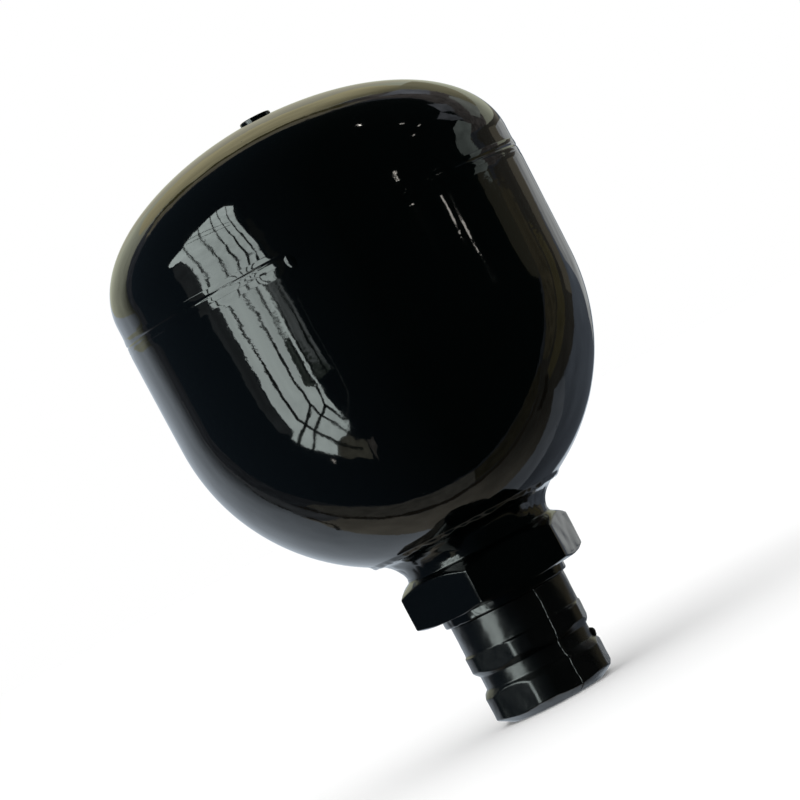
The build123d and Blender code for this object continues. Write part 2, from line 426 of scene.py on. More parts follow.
def arc_through(a: Point, b: Point, c: Point, steps: int) -> list[Point]:
    """Points on the circle through three points.

    Args:
        a: The first end.
        b: A point on the way.
        c: The other end.
        steps: How many spans the arc is cut into.

    Returns:
        The points from a to c.
    """
    d = 2 * (a[0] * (b[1] - c[1]) + b[0] * (c[1] - a[1]) + c[0] * (a[1] - b[1]))
    aa, bb, cc = (p[0] ** 2 + p[1] ** 2 for p in (a, b, c))
    x = (aa * (b[1] - c[1]) + bb * (c[1] - a[1]) + cc * (a[1] - b[1])) / d
    y = (aa * (c[0] - b[0]) + bb * (a[0] - c[0]) + cc * (b[0] - a[0])) / d
    start, middle, end = (atan2(p[1] - y, p[0] - x) for p in (a, b, c))
    turn = (end - start) % (2 * pi)
    if (middle - start) % (2 * pi) > turn:
        turn -= 2 * pi
    radius = hypot(a[0] - x, a[1] - y)
    return [(x + radius * cos(start + turn * i / steps), y + radius * sin(start + turn * i / steps)) for i in range(steps + 1)]


@dataclass
class Section:
    """A closed outline of radius and height that grows corner by corner."""

    spacing: float = 0.6
    points: list[Point] = field(default_factory=list)

    def to(self, *corners: Point, spacing: float | None = None) -> "Section":
        """Runs straight to each corner in turn, cutting the way into even spans.

        Args:
            corners: The places to reach.
            spacing: The longest span, where it isn't the section's own.

        Returns:
            The section itself.
        """
        step = spacing or self.spacing
        for corner in corners:
            if self.points:
                last = self.points[-1]
                count = max(1, round(hypot(corner[0] - last[0], corner[1] - last[1]) / step))
                for i in range(1, count):
                    self.points.append(
                        (last[0] + (corner[0] - last[0]) * i / count, last[1] + (corner[1] - last[1]) * i / count)
                    )
            self.points.append(corner)
        return self

    def along(self, curve: list[Point]) -> "Section":
        """Follows points that already lie close together.

        Args:
            curve: The points, whose first may be where the section stands.

        Returns:
            The section itself.
        """
        if self.points and hypot(curve[0][0] - self.points[-1][0], curve[0][1] - self.points[-1][1]) < 1e-6:
            curve = curve[1:]
        self.points.extend(curve)
        return self


def soften(corners: list[tuple[float, float, float]], closed: bool = False, steps: int = 5) -> list[Point]:
    """Rounds the corners of an outline.

    Args:
        corners: Radius, height and rounding of each corner.
        closed: Whether the last corner runs back to the first.
        steps: How many spans each rounding is cut into.

    Returns:
        The corners, each rounded one replaced by points of its arc.
    """
    out: list[Point] = []
    count = len(corners)
    for i, (r, z, rounding) in enumerate(corners):
        if rounding <= 0 or (not closed and i in (0, count - 1)):
            out.append((r, z))
            continue
        here = Vector((r, z))
        before = Vector(corners[i - 1][:2]) - here
        after = Vector(corners[(i + 1) % count][:2]) - here
        half = before.angle(after) / 2
        reach = min(rounding / tan(half), before.length * 0.48, after.length * 0.48)
        start = here + before.normalized() * reach
        end = here + after.normalized() * reach
        bisector = (before.normalized() + after.normalized()).normalized()
        centre = here + bisector * (reach / cos(half))
        radius = (start - centre).length
        first = atan2(start.y - centre.y, start.x - centre.x)
        turn = (atan2(end.y - centre.y, end.x - centre.x) - first + pi) % (2 * pi) - pi
        for k in range(steps + 1):
            angle = first + turn * k / steps
            out.append((centre.x + radius * cos(angle), centre.y + radius * sin(angle)))
    return out


@dataclass
class Turning:
    """A closed section swept round Z, as rings of points that relief can move.

    Attributes:
        section: The outline's radii and heights. An end on the axis becomes one point there.
        count: How many points each ring has, evenly spread.
        crowded: Directions, in radians, round which each ring has more points.
    """

    section: list[Point]
    count: int = 360
    crowded: tuple[float, ...] = ()

    def __post_init__(self) -> None:
        """Sweeps the section into rings."""
        self.line = np.array(self.section, float)
        even = np.linspace(0, 2 * pi, self.count, endpoint=False)
        between = np.radians(np.arange(-4, 4, 0.2) + 0.07)
        extra = [(direction + between) % (2 * pi) for direction in self.crowded]
        self.angles = np.sort(np.concatenate([even, *extra]))
        self.count = len(self.angles)
        ahead = np.roll(self.line, -1, axis=0) - np.roll(self.line, 1, axis=0)
        ahead /= np.maximum(np.linalg.norm(ahead, axis=1, keepdims=True), 1e-9)
        turned_out = np.stack([ahead[:, 1], -ahead[:, 0]], axis=1)
        around = self.line[:, 0] * np.roll(self.line[:, 1], -1) - np.roll(self.line[:, 0], -1) * self.line[:, 1]
        self.normals = turned_out if around.sum() > 0 else -turned_out
        self.points = self.sweep(self.line)

    def sweep(self, line: np.ndarray) -> np.ndarray:
        """Turns pairs of radius and height into rings.

        Args:
            line: The pairs, one for each ring.

        Returns:
            The points, by ring, by angle, by axis.
        """
        return np.stack(
            [
                line[:, :1] * np.cos(self.angles),
                line[:, :1] * np.sin(self.angles),
                np.repeat(line[:, 1:2], self.count, axis=1),
            ],
            axis=2,
        )

    def push(self, amount: np.ndarray) -> None:
        """Moves every point out along the section's normal.

        Args:
            amount: Millimetres, by ring and angle.
        """
        self.points += self.sweep(self.normals) * amount[:, :, None]

    def swell(self, factor: np.ndarray) -> None:
        """Scales every point's distance from the axis.

        Args:
            factor: One factor by ring and angle.
        """
        self.points[:, :, :2] *= factor[:, :, None]

    def clip_to_hexagon(self, across_flats: float, turn: float, rings: np.ndarray, softness: float) -> None:
        """Cuts rings back to a hexagonal bar, with rounded edges where the two surfaces meet.

        Args:
            across_flats: The bar's width over its flats.
            turn: The angle of one of its corners, in degrees.
            rings: Which rings are cut, as true or false.
            softness: How far from each edge the rounding starts.
        """
        off_flat = (self.angles - radians(turn)) % (pi / 3) - pi / 6
        bar = across_flats / 2 / np.cos(off_flat)
        radius = np.linalg.norm(self.points[:, :, :2], axis=2)
        overlap = np.maximum(softness - np.abs(radius - bar), 0) ** 2 / (4 * softness)
        cut = np.minimum(radius, bar) - overlap
        factor = np.where(rings[:, None], cut / np.maximum(radius, 1e-6), 1)
        self.swell(factor)

    def build(self, name: str, materials: list[bpy.types.Material], painted: np.ndarray | None = None) -> bpy.types.Object:
        """Writes the mesh.

        Args:
            name: The piece's name.
            materials: Its finishes.
            painted: The number of the finish of each ring's faces, where there is more than one.

        Returns:
            The new object, smooth but for its sharp edges.
        """
        n, rings = self.count, len(self.line)
        poles = [i for i in (0, rings - 1) if self.line[i, 0] < 1e-6]
        vertices = [tuple(p) for ring in self.points * MM for p in ring]
        faces, finishes = [], []
        spans = range(rings if not poles else rings - 1)
        for i in spans:
            a, b = i * n, (i + 1) % rings * n
            for j in range(n):
                k = (j + 1) % n
                face = (a + j, a + k, b + k, b + j)
                if i in poles:
                    face = (a, b + k, b + j)
                elif (i + 1) % rings in poles:
                    face = (a + j, a + k, b)
                faces.append(face)
                finishes.append(0 if painted is None else int(painted[i]))
        mesh = bpy.data.meshes.new(name)
        mesh.from_pydata(vertices, [], faces)
        for material in materials:
            mesh.materials.append(material)
        mesh.polygons.foreach_set("material_index", finishes)
        work = bmesh.new()
        work.from_mesh(mesh)
        bmesh.ops.delete(work, geom=[v for v in work.verts if not v.link_faces], context="VERTS")
        bmesh.ops.recalc_face_normals(work, faces=work.faces)
        work.to_mesh(mesh)
        work.free()
        mesh.shade_smooth()
        mesh.set_sharp_from_angle(angle=radians(35))
        piece = bpy.data.objects.new(name, mesh)
        bpy.context.scene.collection.objects.link(piece)
        return piece


def settle(piece: bpy.types.Object, body: Body, slot: Slot, *nodes: str) -> None:
    """Seats a piece in the frame and reports it.

    Args:
        piece: The new piece.
        body: The body that it moves with.
        slot: The record's finish that it shows. Not used.
        nodes: The frame's solids that it stands for.
    """
    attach(piece, body.value)
    if nodes:
        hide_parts(*nodes)
    LOG.info("%s: %d faces, for %s", piece.name, len(piece.data.polygons), ", ".join(nodes) or "itself")


def span(node: str) -> tuple[float, float, float]:
    """Reads a solid's reach from the frame.

    Args:
        node: The solid's name.

    Returns:
        Its largest radius along X, its lowest and its highest point, in millimetres.
    """
    low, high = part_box(node)
    return high.x / MM, low.z / MM, high.z / MM


CAMERA_ANGLE = -106.5  # degrees round Z from +X, from the object to the eye


def on_screen(angle: float) -> float:
    """Turns an angle seen by the eye into one round Z.

    Args:
        angle: Degrees to the right of the line from the axis to the eye.

    Returns:
        Radians round Z from +X.
    """
    return radians(CAMERA_ANGLE + angle)


@dataclass
class Vessel:
    """The two welded halves, their weld and the weld at the neck."""

    finish: bpy.types.Material
    wall: float = 5.0
    dome_height: float = 28.7
    fluid_straight: float = 27.6
    gas_straight: float = 5.4
    weld_root: float = 1.5
    neck_weld_crown: float = 0.4
    wobble: float = 0.022
    wobble_length: float = 26.0
    gas_boss_radius: float = 9.0
    gas_boss_depth: float = 6.5
    count: int = 400

    def __post_init__(self) -> None:
        """Reads the places that the frame gives."""
        self.radius = span("lower_shell")[0]
        _, low, high = span("shell_weld_bead")
        self.seam_z, self.seam_half = (low + high) / 2, (high - low) / 2
        self.centre_z = self.seam_z - self.fluid_straight
        self.dome_z = self.seam_z + self.gas_straight
        self.apex_z = self.dome_z + self.dome_height
        neck_r, neck_low, _ = span("neck_weld_bead")
        outer = self.radius
        self.neck_from = degrees(asin(self.edge_radius(span("port_boss")) / outer))
        self.neck_to = degrees(asin(min(1.0, neck_r / outer)))
        self.inner = outer - self.wall

    @staticmethod
    def edge_radius(reach: tuple[float, float, float]) -> float:
        """The radius at which the boss's flare meets its weld."""
        return 22.99 if reach[2] > 0 else 0.0

    def below(self, radius: float, angle: float) -> Point:
        """A point that far from the bottom's centre and that many degrees off the axis."""
        return radius * sin(radians(angle)), self.centre_z - radius * cos(radians(angle))

    def bottom(self, radius: float, start: float, end: float, spacing: float) -> list[Point]:
        """Points of an arc about the bottom's centre.

        Args:
            radius: The arc's radius.
            start: Degrees off the axis where it begins.
            end: Where it ends.
            spacing: The longest span.

        Returns:
            The points in order.
        """
        steps = max(2, round(abs(radians(end - start)) * radius / spacing))
        return [self.below(radius, start + (end - start) * i / steps) for i in range(steps + 1)]

    def dome(self, radius: float, height: float, start: float, end: float, steps: int) -> list[Point]:
        """Points of the flattened dome.

        Args:
            radius: Its half width.
            height: Its height.
            start: The ellipse's own angle where it begins, in degrees.
            end: Where it ends.
            steps: How many spans it has.

        Returns:
            The points in order.
        """
        turns = [radians(start + (end - start) * i / steps) for i in range(steps + 1)]
        return [(radius * cos(t), self.dome_z + height * sin(t)) for t in turns]

    def relief(self, turning: Turning) -> None:
        """Gives the outer skin its swells and the step at the seam.

        Args:
            turning: The piece, of which only the outer rings move.
        """
        places = turning.points
        radius = np.linalg.norm(places[:, :, :2], axis=2)
        height = places[:, :, 2]
        outward = turning.normals[:, :1] * places[:, :, 0] / np.maximum(radius, 1e-6)
        from_centre = np.hypot(radius, height - self.centre_z)
        skin = (from_centre > self.radius - 1.0) | (height > self.seam_z + self.gas_straight)
        skin &= turning.normals[:, 0:1] * radius + turning.normals[:, 1:2] * (height - self.centre_z) > 0
        lift = self.wobble * ripples(places, self.wobble_length, 11)
        lift += 0.35 * self.wobble * ripples(places, self.wobble_length / 2.6, 12)
        above = height - self.seam_z
        angle = np.arctan2(places[:, :, 1], places[:, :, 0])
        uneven = 1 + 0.4 * ripples(np.stack([np.cos(angle), np.sin(angle), 0 * angle], axis=2) * self.radius, 9.0, 13)
        step = 0.16 * ease(above, 2.6, 0.5) - 0.14 * ease(above, 0.5, 0.0)
        step_below = 0.02 + 0.13 * ease(above, 0.0, -0.5) + 0.12 * ease(above, -0.5, -2.4)
        step_below -= 0.27 * np.clip((above + 2.4) / -25.6, 0, 1)
        lift += np.where(above >= 0, step, step_below) * np.where(np.abs(above) < 3, uneven, 1)
        turning.push(np.where(skin, np.clip(lift, -0.2, 0.27), 0))

    def build(self) -> None:
        """Builds and seats both halves and both welds."""
        self.build_lower()
        self.build_upper()
        self.build_seam()
        self.build_neck_weld()

    def build_lower(self) -> None:
        """Builds the fluid half."""
        root = self.inner + self.weld_root
        edge = self.seam_z - self.seam_half
        section = Section(0.9)
        section.along(self.bottom(self.radius, self.neck_to, 90, 0.8))
        section.to((self.radius, edge), spacing=0.8)
        section.to((root, self.seam_z), (self.inner, self.seam_z), (self.inner, self.centre_z), spacing=4)
        middle = (self.neck_from + self.neck_to) / 2
        section.along(self.bottom(self.inner, 90, middle, 3))
        section.to(self.below(root, middle), spacing=4)
        turning = Turning(section.points, self.count)
        self.relief(turning)
        piece = turning.build("fluid_half", [self.finish])
        settle(piece, Body.VESSEL, Slot.SHELL, "lower_shell")

    def build_upper(self) -> None:
        """Builds the gas half, with the boss that holds the screw."""
        screw_r, screw_low, _ = span("charging_screw")
        hole = screw_r + 0.05
        root = self.inner + self.weld_root
        inner_height = self.dome_height - self.wall
        boss_low = self.apex_z - self.wall - self.gas_boss_depth
        rim = degrees(asin(sqrt(1 - (hole / self.radius) ** 2)))
        boss_turn = degrees(asin(sqrt(1 - (self.gas_boss_radius / self.inner) ** 2)))
        section = Section(0.9)
        section.to((self.inner, self.seam_z), (root, self.seam_z), (self.radius, self.seam_z + self.seam_half), spacing=4)
        section.to((self.radius, self.dome_z), spacing=0.8)
        section.along(self.dome(self.radius, self.dome_height, 0, rim, 96))
        section.to((hole, screw_low + 2), (1.6, screw_low - 0.05), (1.6, boss_low), spacing=2)
        section.to((self.gas_boss_radius, boss_low), spacing=3)
        section.along(self.dome(self.inner, inner_height, boss_turn, 0, 24))
        turning = Turning(section.points, self.count)
        self.relief(turning)
        piece = turning.build("gas_half", [self.finish])
        settle(piece, Body.VESSEL, Slot.SHELL, "upper_shell")

    def build_seam(self) -> None:
        """Builds the weld between the halves, with a fine undercut along its middle."""
        root = self.inner + self.weld_root
        section = Section(0.1)
        section.to((self.radius, self.seam_z - self.seam_half), (self.radius, self.seam_z + self.seam_half))
        section.to((root, self.seam_z), spacing=4)
        turning = Turning(section.points, self.count * 2)
        self.relief(turning)
        piece = turning.build("seam_weld", [self.finish])
        settle(piece, Body.VESSEL, Slot.SHELL, "shell_weld_bead")

    def build_neck_weld(self) -> None:
        """Builds the weld round the neck, a low lumpy ridge under the enamel."""
        root = self.below(self.inner + self.weld_root, (self.neck_from + self.neck_to) / 2)
        section = Section(0.15)
        section.along(self.bottom(self.radius, self.neck_from, self.neck_to, 0.15))
        section.to(root, spacing=4)
        turning = Turning(section.points, 720)
        places = turning.points
        radius = np.linalg.norm(places[:, :, :2], axis=2)
        low = self.radius * sin(radians(self.neck_from))
        high = self.radius * sin(radians(self.neck_to))
        across = np.clip((radius - low) / (high - low), 0, 1)
        crown = np.sin(pi * across) ** 1.5 * self.neck_weld_crown
        lumps = 1 + 0.3 * ripples(places, 5.0, 21) + 0.15 * ripples(places, 2.2, 22)
        skin = np.hypot(radius, places[:, :, 2] - self.centre_z) > self.radius - 0.5
        turning.push(np.where(skin, crown * lumps, 0))
        piece = turning.build("neck_weld", [self.finish])
        settle(piece, Body.VESSEL, Slot.SHELL, "neck_weld_bead")


@dataclass
class PortBoss:
    """The forged boss: flared neck, wrench hexagon and the seat inside."""

    vessel: Vessel
    finish: bpy.types.Material
    across_flats: float = 41.0
    neck_radius: float = 18.9
    cone_slope: float = 30.0
    bottom_chamfer: Point = (2.8, 0.9)
    flare_bow: float = 1.1
    seat_radius: float = 15.2
    passage_radius: float = 6.0
    thread_radius: float = 12.05
    thread_depth: float = 13.5
    edge_softness: float = 0.9
    sag: float = 0.32
    count: int = 480

    def build(self) -> None:
        """Builds and seats the boss."""
        vessel = self.vessel
        _, low, _ = span("port_boss")
        corner = self.across_flats / 2 / cos(radians(30))
        top = low + 11.8
        drop = (corner - self.neck_radius) * tan(radians(self.cone_slope))
        flare = vessel.below(vessel.radius, vessel.neck_from)
        middle = ((flare[0] + self.neck_radius) / 2 - self.flare_bow, (flare[1] + top) / 2 + self.flare_bow / 2)
        inner = vessel.inner
        weld = (vessel.neck_from + vessel.neck_to) / 2
        seat_turn = degrees(asin(self.seat_radius / inner))
        seat_z = vessel.centre_z - sqrt(inner**2 - self.seat_radius**2)
        radial, axial = self.bottom_chamfer
        hexagon = soften(
            [
                (self.thread_radius, low, 0),
                (corner - radial, low, 0.5),
                (corner, low + axial, 0.6),
                (corner, top - drop, 0.4),
                (self.neck_radius, top, 0.7),
                (middle[0], middle[1], 0),
            ]
        )
        section = Section(0.35)
        section.to(*hexagon[:-1])
        section.along(arc_through((self.neck_radius, top + 0.25), middle, flare, 26))
        section.to(vessel.below(inner + vessel.weld_root, weld), spacing=3)
        section.along(vessel.bottom(inner, weld, seat_turn, 2))
        section.to((self.passage_radius, seat_z), (self.passage_radius, low + self.thread_depth + 3.5), spacing=4)
        section.to((self.thread_radius, low + self.thread_depth), spacing=4)
        section.to((self.thread_radius, low + 0.4), spacing=4)
        turning = Turning(section.points, self.count)
        heights = turning.line[:, 1]
        outer = np.zeros(len(heights), bool)
        outer[: len(Section(0.35).to(*hexagon[:-1]).points)] = True
        turning.clip_to_hexagon(self.across_flats, 0.0, outer & (heights < top + 0.3), self.edge_softness)
        self.run_paint(turning, top, flare[1])
        piece = turning.build("port_boss_skin", [self.finish])
        settle(piece, Body.VESSEL, Slot.SHELL, "port_boss")

    def run_paint(self, turning: Turning, top: float, flare_top: float) -> None:
        """Hangs sags of enamel on the flare, where it ran down from the weld.

        Args:
            turning: The boss.
            top: The height of the hexagon's top.
            flare_top: The height at which the flare meets the weld.
        """
        places = turning.points
        height = places[:, :, 2]
        radius = np.linalg.norm(places[:, :, :2], axis=2)
        on_flare = ease(height, top + 0.6, top + 3.2) * ease(height, flare_top + 0.05, flare_top - 0.9)
        on_flare *= radius > self.neck_radius - 0.8
        drawn_out = places * np.array([1.0, 1.0, 0.45])
        folds = ripples(drawn_out, 12.0, 31)
        curls = ripples(places + 2.4 * ripples(places, 9.0, 33)[:, :, None], 7.0, 32)
        lift = self.sag * on_flare * (0.7 * folds + 0.35 * np.abs(curls) - 0.1)
        on_hexagon = (height < top) & (radius > self.thread_radius + 2)
        lift += np.where(on_hexagon, 0.03 * ripples(places, 7.0, 34), 0)
        turning.push(lift)


@dataclass
class PortAdapter:
    """The screwed-in adapter: two hexagon lands, a waist, a barrel and the fluid port."""

    paint: bpy.types.Material
    steel: bpy.types.Material
    across_flats: float = 30.0
    corner_radius: float = 16.05
    clocking: float = 6.5
    end_face_radius: float = 12.2
    end_chamfer: float = 2.3
    end_height: float = 8.0
    groove_radius: float = 14.3
    groove_floor: float = 3.4
    ring_height: float = 4.1
    barrel_radius: float = 15.2
    stud_radius: float = 12.0
    stud_length: float = 12.0
    port_radius: float = 8.19
    thread_depth: float = 0.8
    thread_pitch: float = 1.5
    mouth_radius: float = 9.2
    port_depth: float = 14.0
    passage_radius: float = 6.0
    edge_softness: float = 0.22
    run_angle: float = 26.7  # of the long paint run, to the right of the eye
    run_width: float = 0.27
    run_height: float = 0.19
    drop_angle: float = 89.0
    drop_height: float = 10.4
    drop_size: float = 1.05
    drop_width: float = 1.3
    count: int = 360

    def build(self) -> None:
        """Builds and seats the adapter."""
        shoulder = span("washer_ring")[1]
        corner, waist = self.corner_radius, self.groove_radius
        flank = corner - waist
        groove_low = self.end_height + flank
        groove_high = groove_low + self.groove_floor
        ring_low = groove_high + flank
        ring_high = ring_low + self.ring_height
        stud_top = shoulder + self.stud_length
        mouth = self.mouth_radius - self.port_radius
        outside = soften(
            [
                (self.mouth_radius, 0, 0),
                (self.end_face_radius, 0, 0.5),
                (corner, self.end_chamfer, 0.5),
                (corner, self.end_height, 0.4),
                (waist, groove_low, 0.6),
                (waist, groove_high, 0.6),
                (corner, ring_low, 0.4),
                (corner, ring_high - 0.3, 0.35),
                (self.barrel_radius, ring_high + 0.05, 0.35),
                (self.barrel_radius, shoulder - 0.05, 0.35),
                (self.stud_radius, shoulder, 0),
            ],
            steps=4,
        )
        section = Section(0.32)
        section.to(*outside)
        lands_end = len(section.points)
        section.to((self.stud_radius, stud_top - 1), (self.stud_radius - 1, stud_top), spacing=3)
        section.to((self.passage_radius, stud_top), (self.passage_radius, self.port_depth + 1.3), spacing=5)
        section.to((self.port_radius, self.port_depth), spacing=2)
        inside_from = len(section.points) - 1
        section.to((self.port_radius, mouth), spacing=0.19)
        section.to((self.mouth_radius, 0.05), spacing=0.3)
        turning = Turning(section.points, self.count, (on_screen(self.run_angle), on_screen(self.drop_angle)))
        heights = turning.line[:, 1]
        ring_number = np.arange(len(heights))
        lands = (ring_number < lands_end) & (heights < ring_high + 0.02)
        turning.clip_to_hexagon(self.across_flats, self.clocking, lands, self.edge_softness)
        self.cut_thread(turning, ring_number >= inside_from, mouth)
        self.run_paint(turning, ring_number < lands_end)
        bare = (ring_number >= inside_from - 3).astype(int)
        piece = turning.build("port_adapter_skin", [self.paint, self.steel], bare)
        settle(piece, Body.VESSEL, Slot.ADAPTER, "port_adapter")

    def cut_thread(self, turning: Turning, rings: np.ndarray, mouth: float) -> None:
        """Cuts the port's thread as a helix.

        Args:
            turning: The adapter.
            rings: Which rings belong to the port's wall.
            mouth: The depth of the countersink.
        """
        height = turning.points[:, :, 2]
        phase = (height / self.thread_pitch - turning.angles / (2 * pi)) % 1.0
        tooth = np.clip(1.25 * (1 - np.abs(2 * phase - 1)) - 0.125, 0, 1)
        fade = ease(height, mouth - 0.3, mouth + 0.6) * ease(height, self.port_depth - 0.2, self.port_depth - 1.6)
        depth = np.where(rings[:, None], self.thread_depth * tooth * fade, 0)
        radius = np.linalg.norm(turning.points[:, :, :2], axis=2)
        turning.swell(1 + depth / np.maximum(radius, 1e-6))

    def run_paint(self, turning: Turning, rings: np.ndarray) -> None:
        """Lays a long thin run down the side and a drop on the shoulder of the end land.

        Args:
            turning: The adapter.
            rings: Which rings are painted.
        """
        places = turning.points
        height = places[:, :, 2]
        radius = np.linalg.norm(places[:, :, :2], axis=2)
        sway = 0.16 * np.sin(height / 2.9 + 0.5) + 0.1 * np.sin(height / 1.15) + 0.04 * np.sin(height / 0.4)
        aside = ((turning.angles - on_screen(self.run_angle) + pi) % (2 * pi) - pi) * 15.0 - sway
        run = self.run_height * np.sqrt(np.clip(1 - (aside / self.run_width) ** 2, 0, 1))
        beside = ((turning.angles - on_screen(self.drop_angle) + pi) % (2 * pi) - pi) * 15.0
        from_drop = np.hypot(beside, (height - self.drop_height) * 1.1) / self.drop_width
        drop = self.drop_size * np.sqrt(np.clip(1 - from_drop**2, 0, 1))
        film = 0.035 * ripples(places, 6.0, 41) + 0.012 * ripples(places, 2.4, 42)
        above_face = ease(height, 0.0, 0.8)
        lift = np.where(rings[:, None] & (radius > self.mouth_radius + 0.5), (run + film) * above_face, 0)
        turning.push(lift)
        grown = np.where(rings[:, None], drop, 0)
        turning.swell(1 + grown / np.maximum(radius, 1e-6))


@dataclass
class Washer:
    """The bonded washer's steel ring, rounded by the enamel that bridges it."""

    paint: bpy.types.Material
    radius: float = 16.3
    bore: float = 13.0

    def build(self) -> None:
        """Builds and seats the ring."""
        _, low, high = span("washer_ring")
        outline = soften(
            [(self.bore, low, 0.15), (self.radius, low, 0.45), (self.radius, high, 0.35), (self.bore, high, 0.15)],
            closed=True,
        )
        section = Section(0.3)
        section.to(*outline)
        turning = Turning(section.points, 360)
        radius = np.linalg.norm(turning.points[:, :, :2], axis=2)
        drift = 0.07 * ripples(turning.points, 7.0, 51) + 0.04 * ripples(turning.points, 2.6, 52)
        turning.push(np.where(radius > self.bore + 2.5, drift, 0))
        piece = turning.build("washer_skin", [self.paint])
        settle(piece, Body.VESSEL, Slot.WASHER, "washer_ring")


@dataclass
class ChargingScrew:
    """The gas screw, its hexagon socket half filled with enamel."""

    paint: bpy.types.Material
    radius: float = 4.0
    socket_flats: float = 4.0
    socket_depth: float = 4.0
    groove_radius: float = 2.5

    def build(self) -> None:
        """Builds and seats the screw."""
        _, low, high = span("charging_screw")
        socket = self.socket_flats / 2
        floor = high - self.socket_depth
        outline = soften(
            [
                (0, low, 0),
                (1.6, low, 0.2),
                (self.radius, low + 2, 0.2),
                (self.radius, high - 6.6, 0.1),
                (self.groove_radius, high - 6.6, 0.1),
                (self.groove_radius, high - 4.6, 0.1),
                (self.radius, high - 4.6, 0.1),
                (self.radius, high, 0.45),
                (socket + 0.35, high, 0.2),
                (socket, high - 0.4, 0.1),
                (socket, floor, 0.15),
                (0, floor - 0.6, 0),
            ],
            steps=4,
        )
        section = Section(0.25)
        section.to(*outline)
        turning = Turning(section.points, 240)
        heights = turning.line[:, 1]
        ring_number = np.arange(len(heights))
        summit = int(np.argmax(heights))
        inside = (ring_number > summit) & (turning.line[:, 0] < socket + 0.3)
        off_flat = turning.angles % (pi / 3) - pi / 6
        wrench = np.repeat((1 / np.cos(off_flat))[None], len(heights), axis=0)
        turning.swell(np.where(inside[:, None], wrench, 1))
        piece = turning.build("charging_screw_skin", [self.paint])
        settle(piece, Body.VESSEL, Slot.SCREW, "charging_screw")


@dataclass
class Diaphragm:
    """The moulded diaphragm, built in its moulded shape; the real one folds flat as the button rises."""

    vessel: Vessel
    rubber: bpy.types.Material
    thickness: float = 2.0
    gap: float = 0.3
    bead_width: float = 4.3
    bead_height: float = 5.8
    pad_radius: float = 13.0
    pad_rim_radius: float = 15.2
    pad_blend_radius: float = 20.0
    pad_thickness: float = 2.6
    stem_hole: float = 4.35
    recess: float = 13.7
    corrugation: float = 0.25

    def build(self) -> None:
        """Builds the diaphragm in its moulded shape."""
        vessel = self.vessel
        _, pad_bottom_low, bead_top = span("diaphragm")
        outer = vessel.inner - self.gap
        inner = outer - self.thickness
        shelf = span("closing_button")[1] + 2.6 + 0.25
        bead_low = bead_top - self.bead_height
        bead_inner = outer - self.bead_width
        rim_turn = degrees(asin(self.pad_rim_radius / outer))
        blend_turn = degrees(asin(self.pad_blend_radius / inner))
        rim = vessel.below(outer, rim_turn)
        section = Section(1.2)
        section.to((outer, bead_top - 0.6), (outer, vessel.centre_z))
        section.along(vessel.bottom(outer, 90, rim_turn, 1.2))
        section.to((self.recess, rim[1] + 0.25), (self.recess, shelf), (self.stem_hole, shelf), spacing=1.0)
        section.to((self.stem_hole, shelf + self.pad_thickness), (self.pad_radius, shelf + self.pad_thickness), spacing=1.0)
        section.along(vessel.bottom(inner, blend_turn, 90, 1.2))
        section.to((inner, bead_low - 1.2), (bead_inner, bead_low), spacing=0.8)
        section.along(
            soften([(bead_inner, bead_low, 0), (bead_inner, bead_top, 1.2), (outer, bead_top, 0.6), (outer, bead_top - 0.6, 0)])
        )
        turning = Turning(section.points, 180)
        piece = turning.build("diaphragm_skin", [self.rubber])
        settle(piece, Body.VESSEL, Slot.DIAPHRAGM, "diaphragm")
        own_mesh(piece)


@dataclass
class SpatterNibs:
    """Beads of weld spatter near the seam that the enamel drew round."""

    vessel: Vessel
    paint: bpy.types.Material
    places: tuple[tuple[float, float, float], ...] = (
        (-8.6, -2.0, 1.7),
        (-11.1, -5.9, 1.0),
        (-7.0, -10.6, 0.6),
        (26.5, 3.9, 0.5),
        (26.3, 2.0, 0.5),
        (27.0, -1.9, 0.45),
        (-39.0, 1.2, 0.45),
        (-47.0, 2.1, 0.4),
        (61.0, -6.0, 0.5),
        (118.0, 3.0, 0.8),
        (150.0, -4.0, 0.6),
        (201.0, 2.2, 0.7),
        (246.0, -6.0, 0.5),
    )  # degrees right of the eye, height over the seam, radius
    rings: int = 7
    count: int = 20

    def build(self) -> None:
        """Builds every bead into one mesh."""
        vertices: list[Vector] = []
        faces: list[tuple[int, ...]] = []
        for angle, above, size in self.places:
            turn = on_screen(angle)
            foot = Vector((cos(turn), sin(turn), 0))
            aside = Vector((-sin(turn), cos(turn), 0))
            centre = foot * (self.vessel.radius - 0.12) + Vector((0, 0, self.vessel.seam_z + above))
            first = len(vertices)
            for i in range(self.rings):
                share = i / (self.rings - 1)
                reach = size * cos(share * pi / 2)
                rise = 0.36 * size * sin(share * pi / 2)
                for j in range(self.count):
                    t = 2 * pi * j / self.count
                    bulge = 1 + 0.12 * sin(2 * t + angle)
                    vertices.append(centre + foot * rise + (aside * cos(t) + Vector((0, 0, 1)) * sin(t)) * reach * bulge)
            for i in range(self.rings - 2):
                for j in range(self.count):
                    k = (j + 1) % self.count
                    a, b = first + i * self.count, first + (i + 1) * self.count
                    faces.append((a + j, a + k, b + k, b + j))
            last = first + (self.rings - 2) * self.count
            faces.append(tuple(last + j for j in range(self.count)))
            faces.append(tuple(first + j for j in reversed(range(self.count))))
        mesh = bpy.data.meshes.new("spatter_nibs")
        mesh.from_pydata([v * MM for v in vertices], [], faces)
        mesh.materials.append(self.paint)
        work = bmesh.new()
        work.from_mesh(mesh)
        bmesh.ops.delete(work, geom=[v for v in work.verts if not v.link_faces], context="VERTS")
        work.to_mesh(mesh)
        work.free()
        mesh.shade_smooth()
        piece = bpy.data.objects.new("spatter_nibs", mesh)
        bpy.context.scene.collection.objects.link(piece)
        settle(piece, Body.VESSEL, Slot.SHELL)


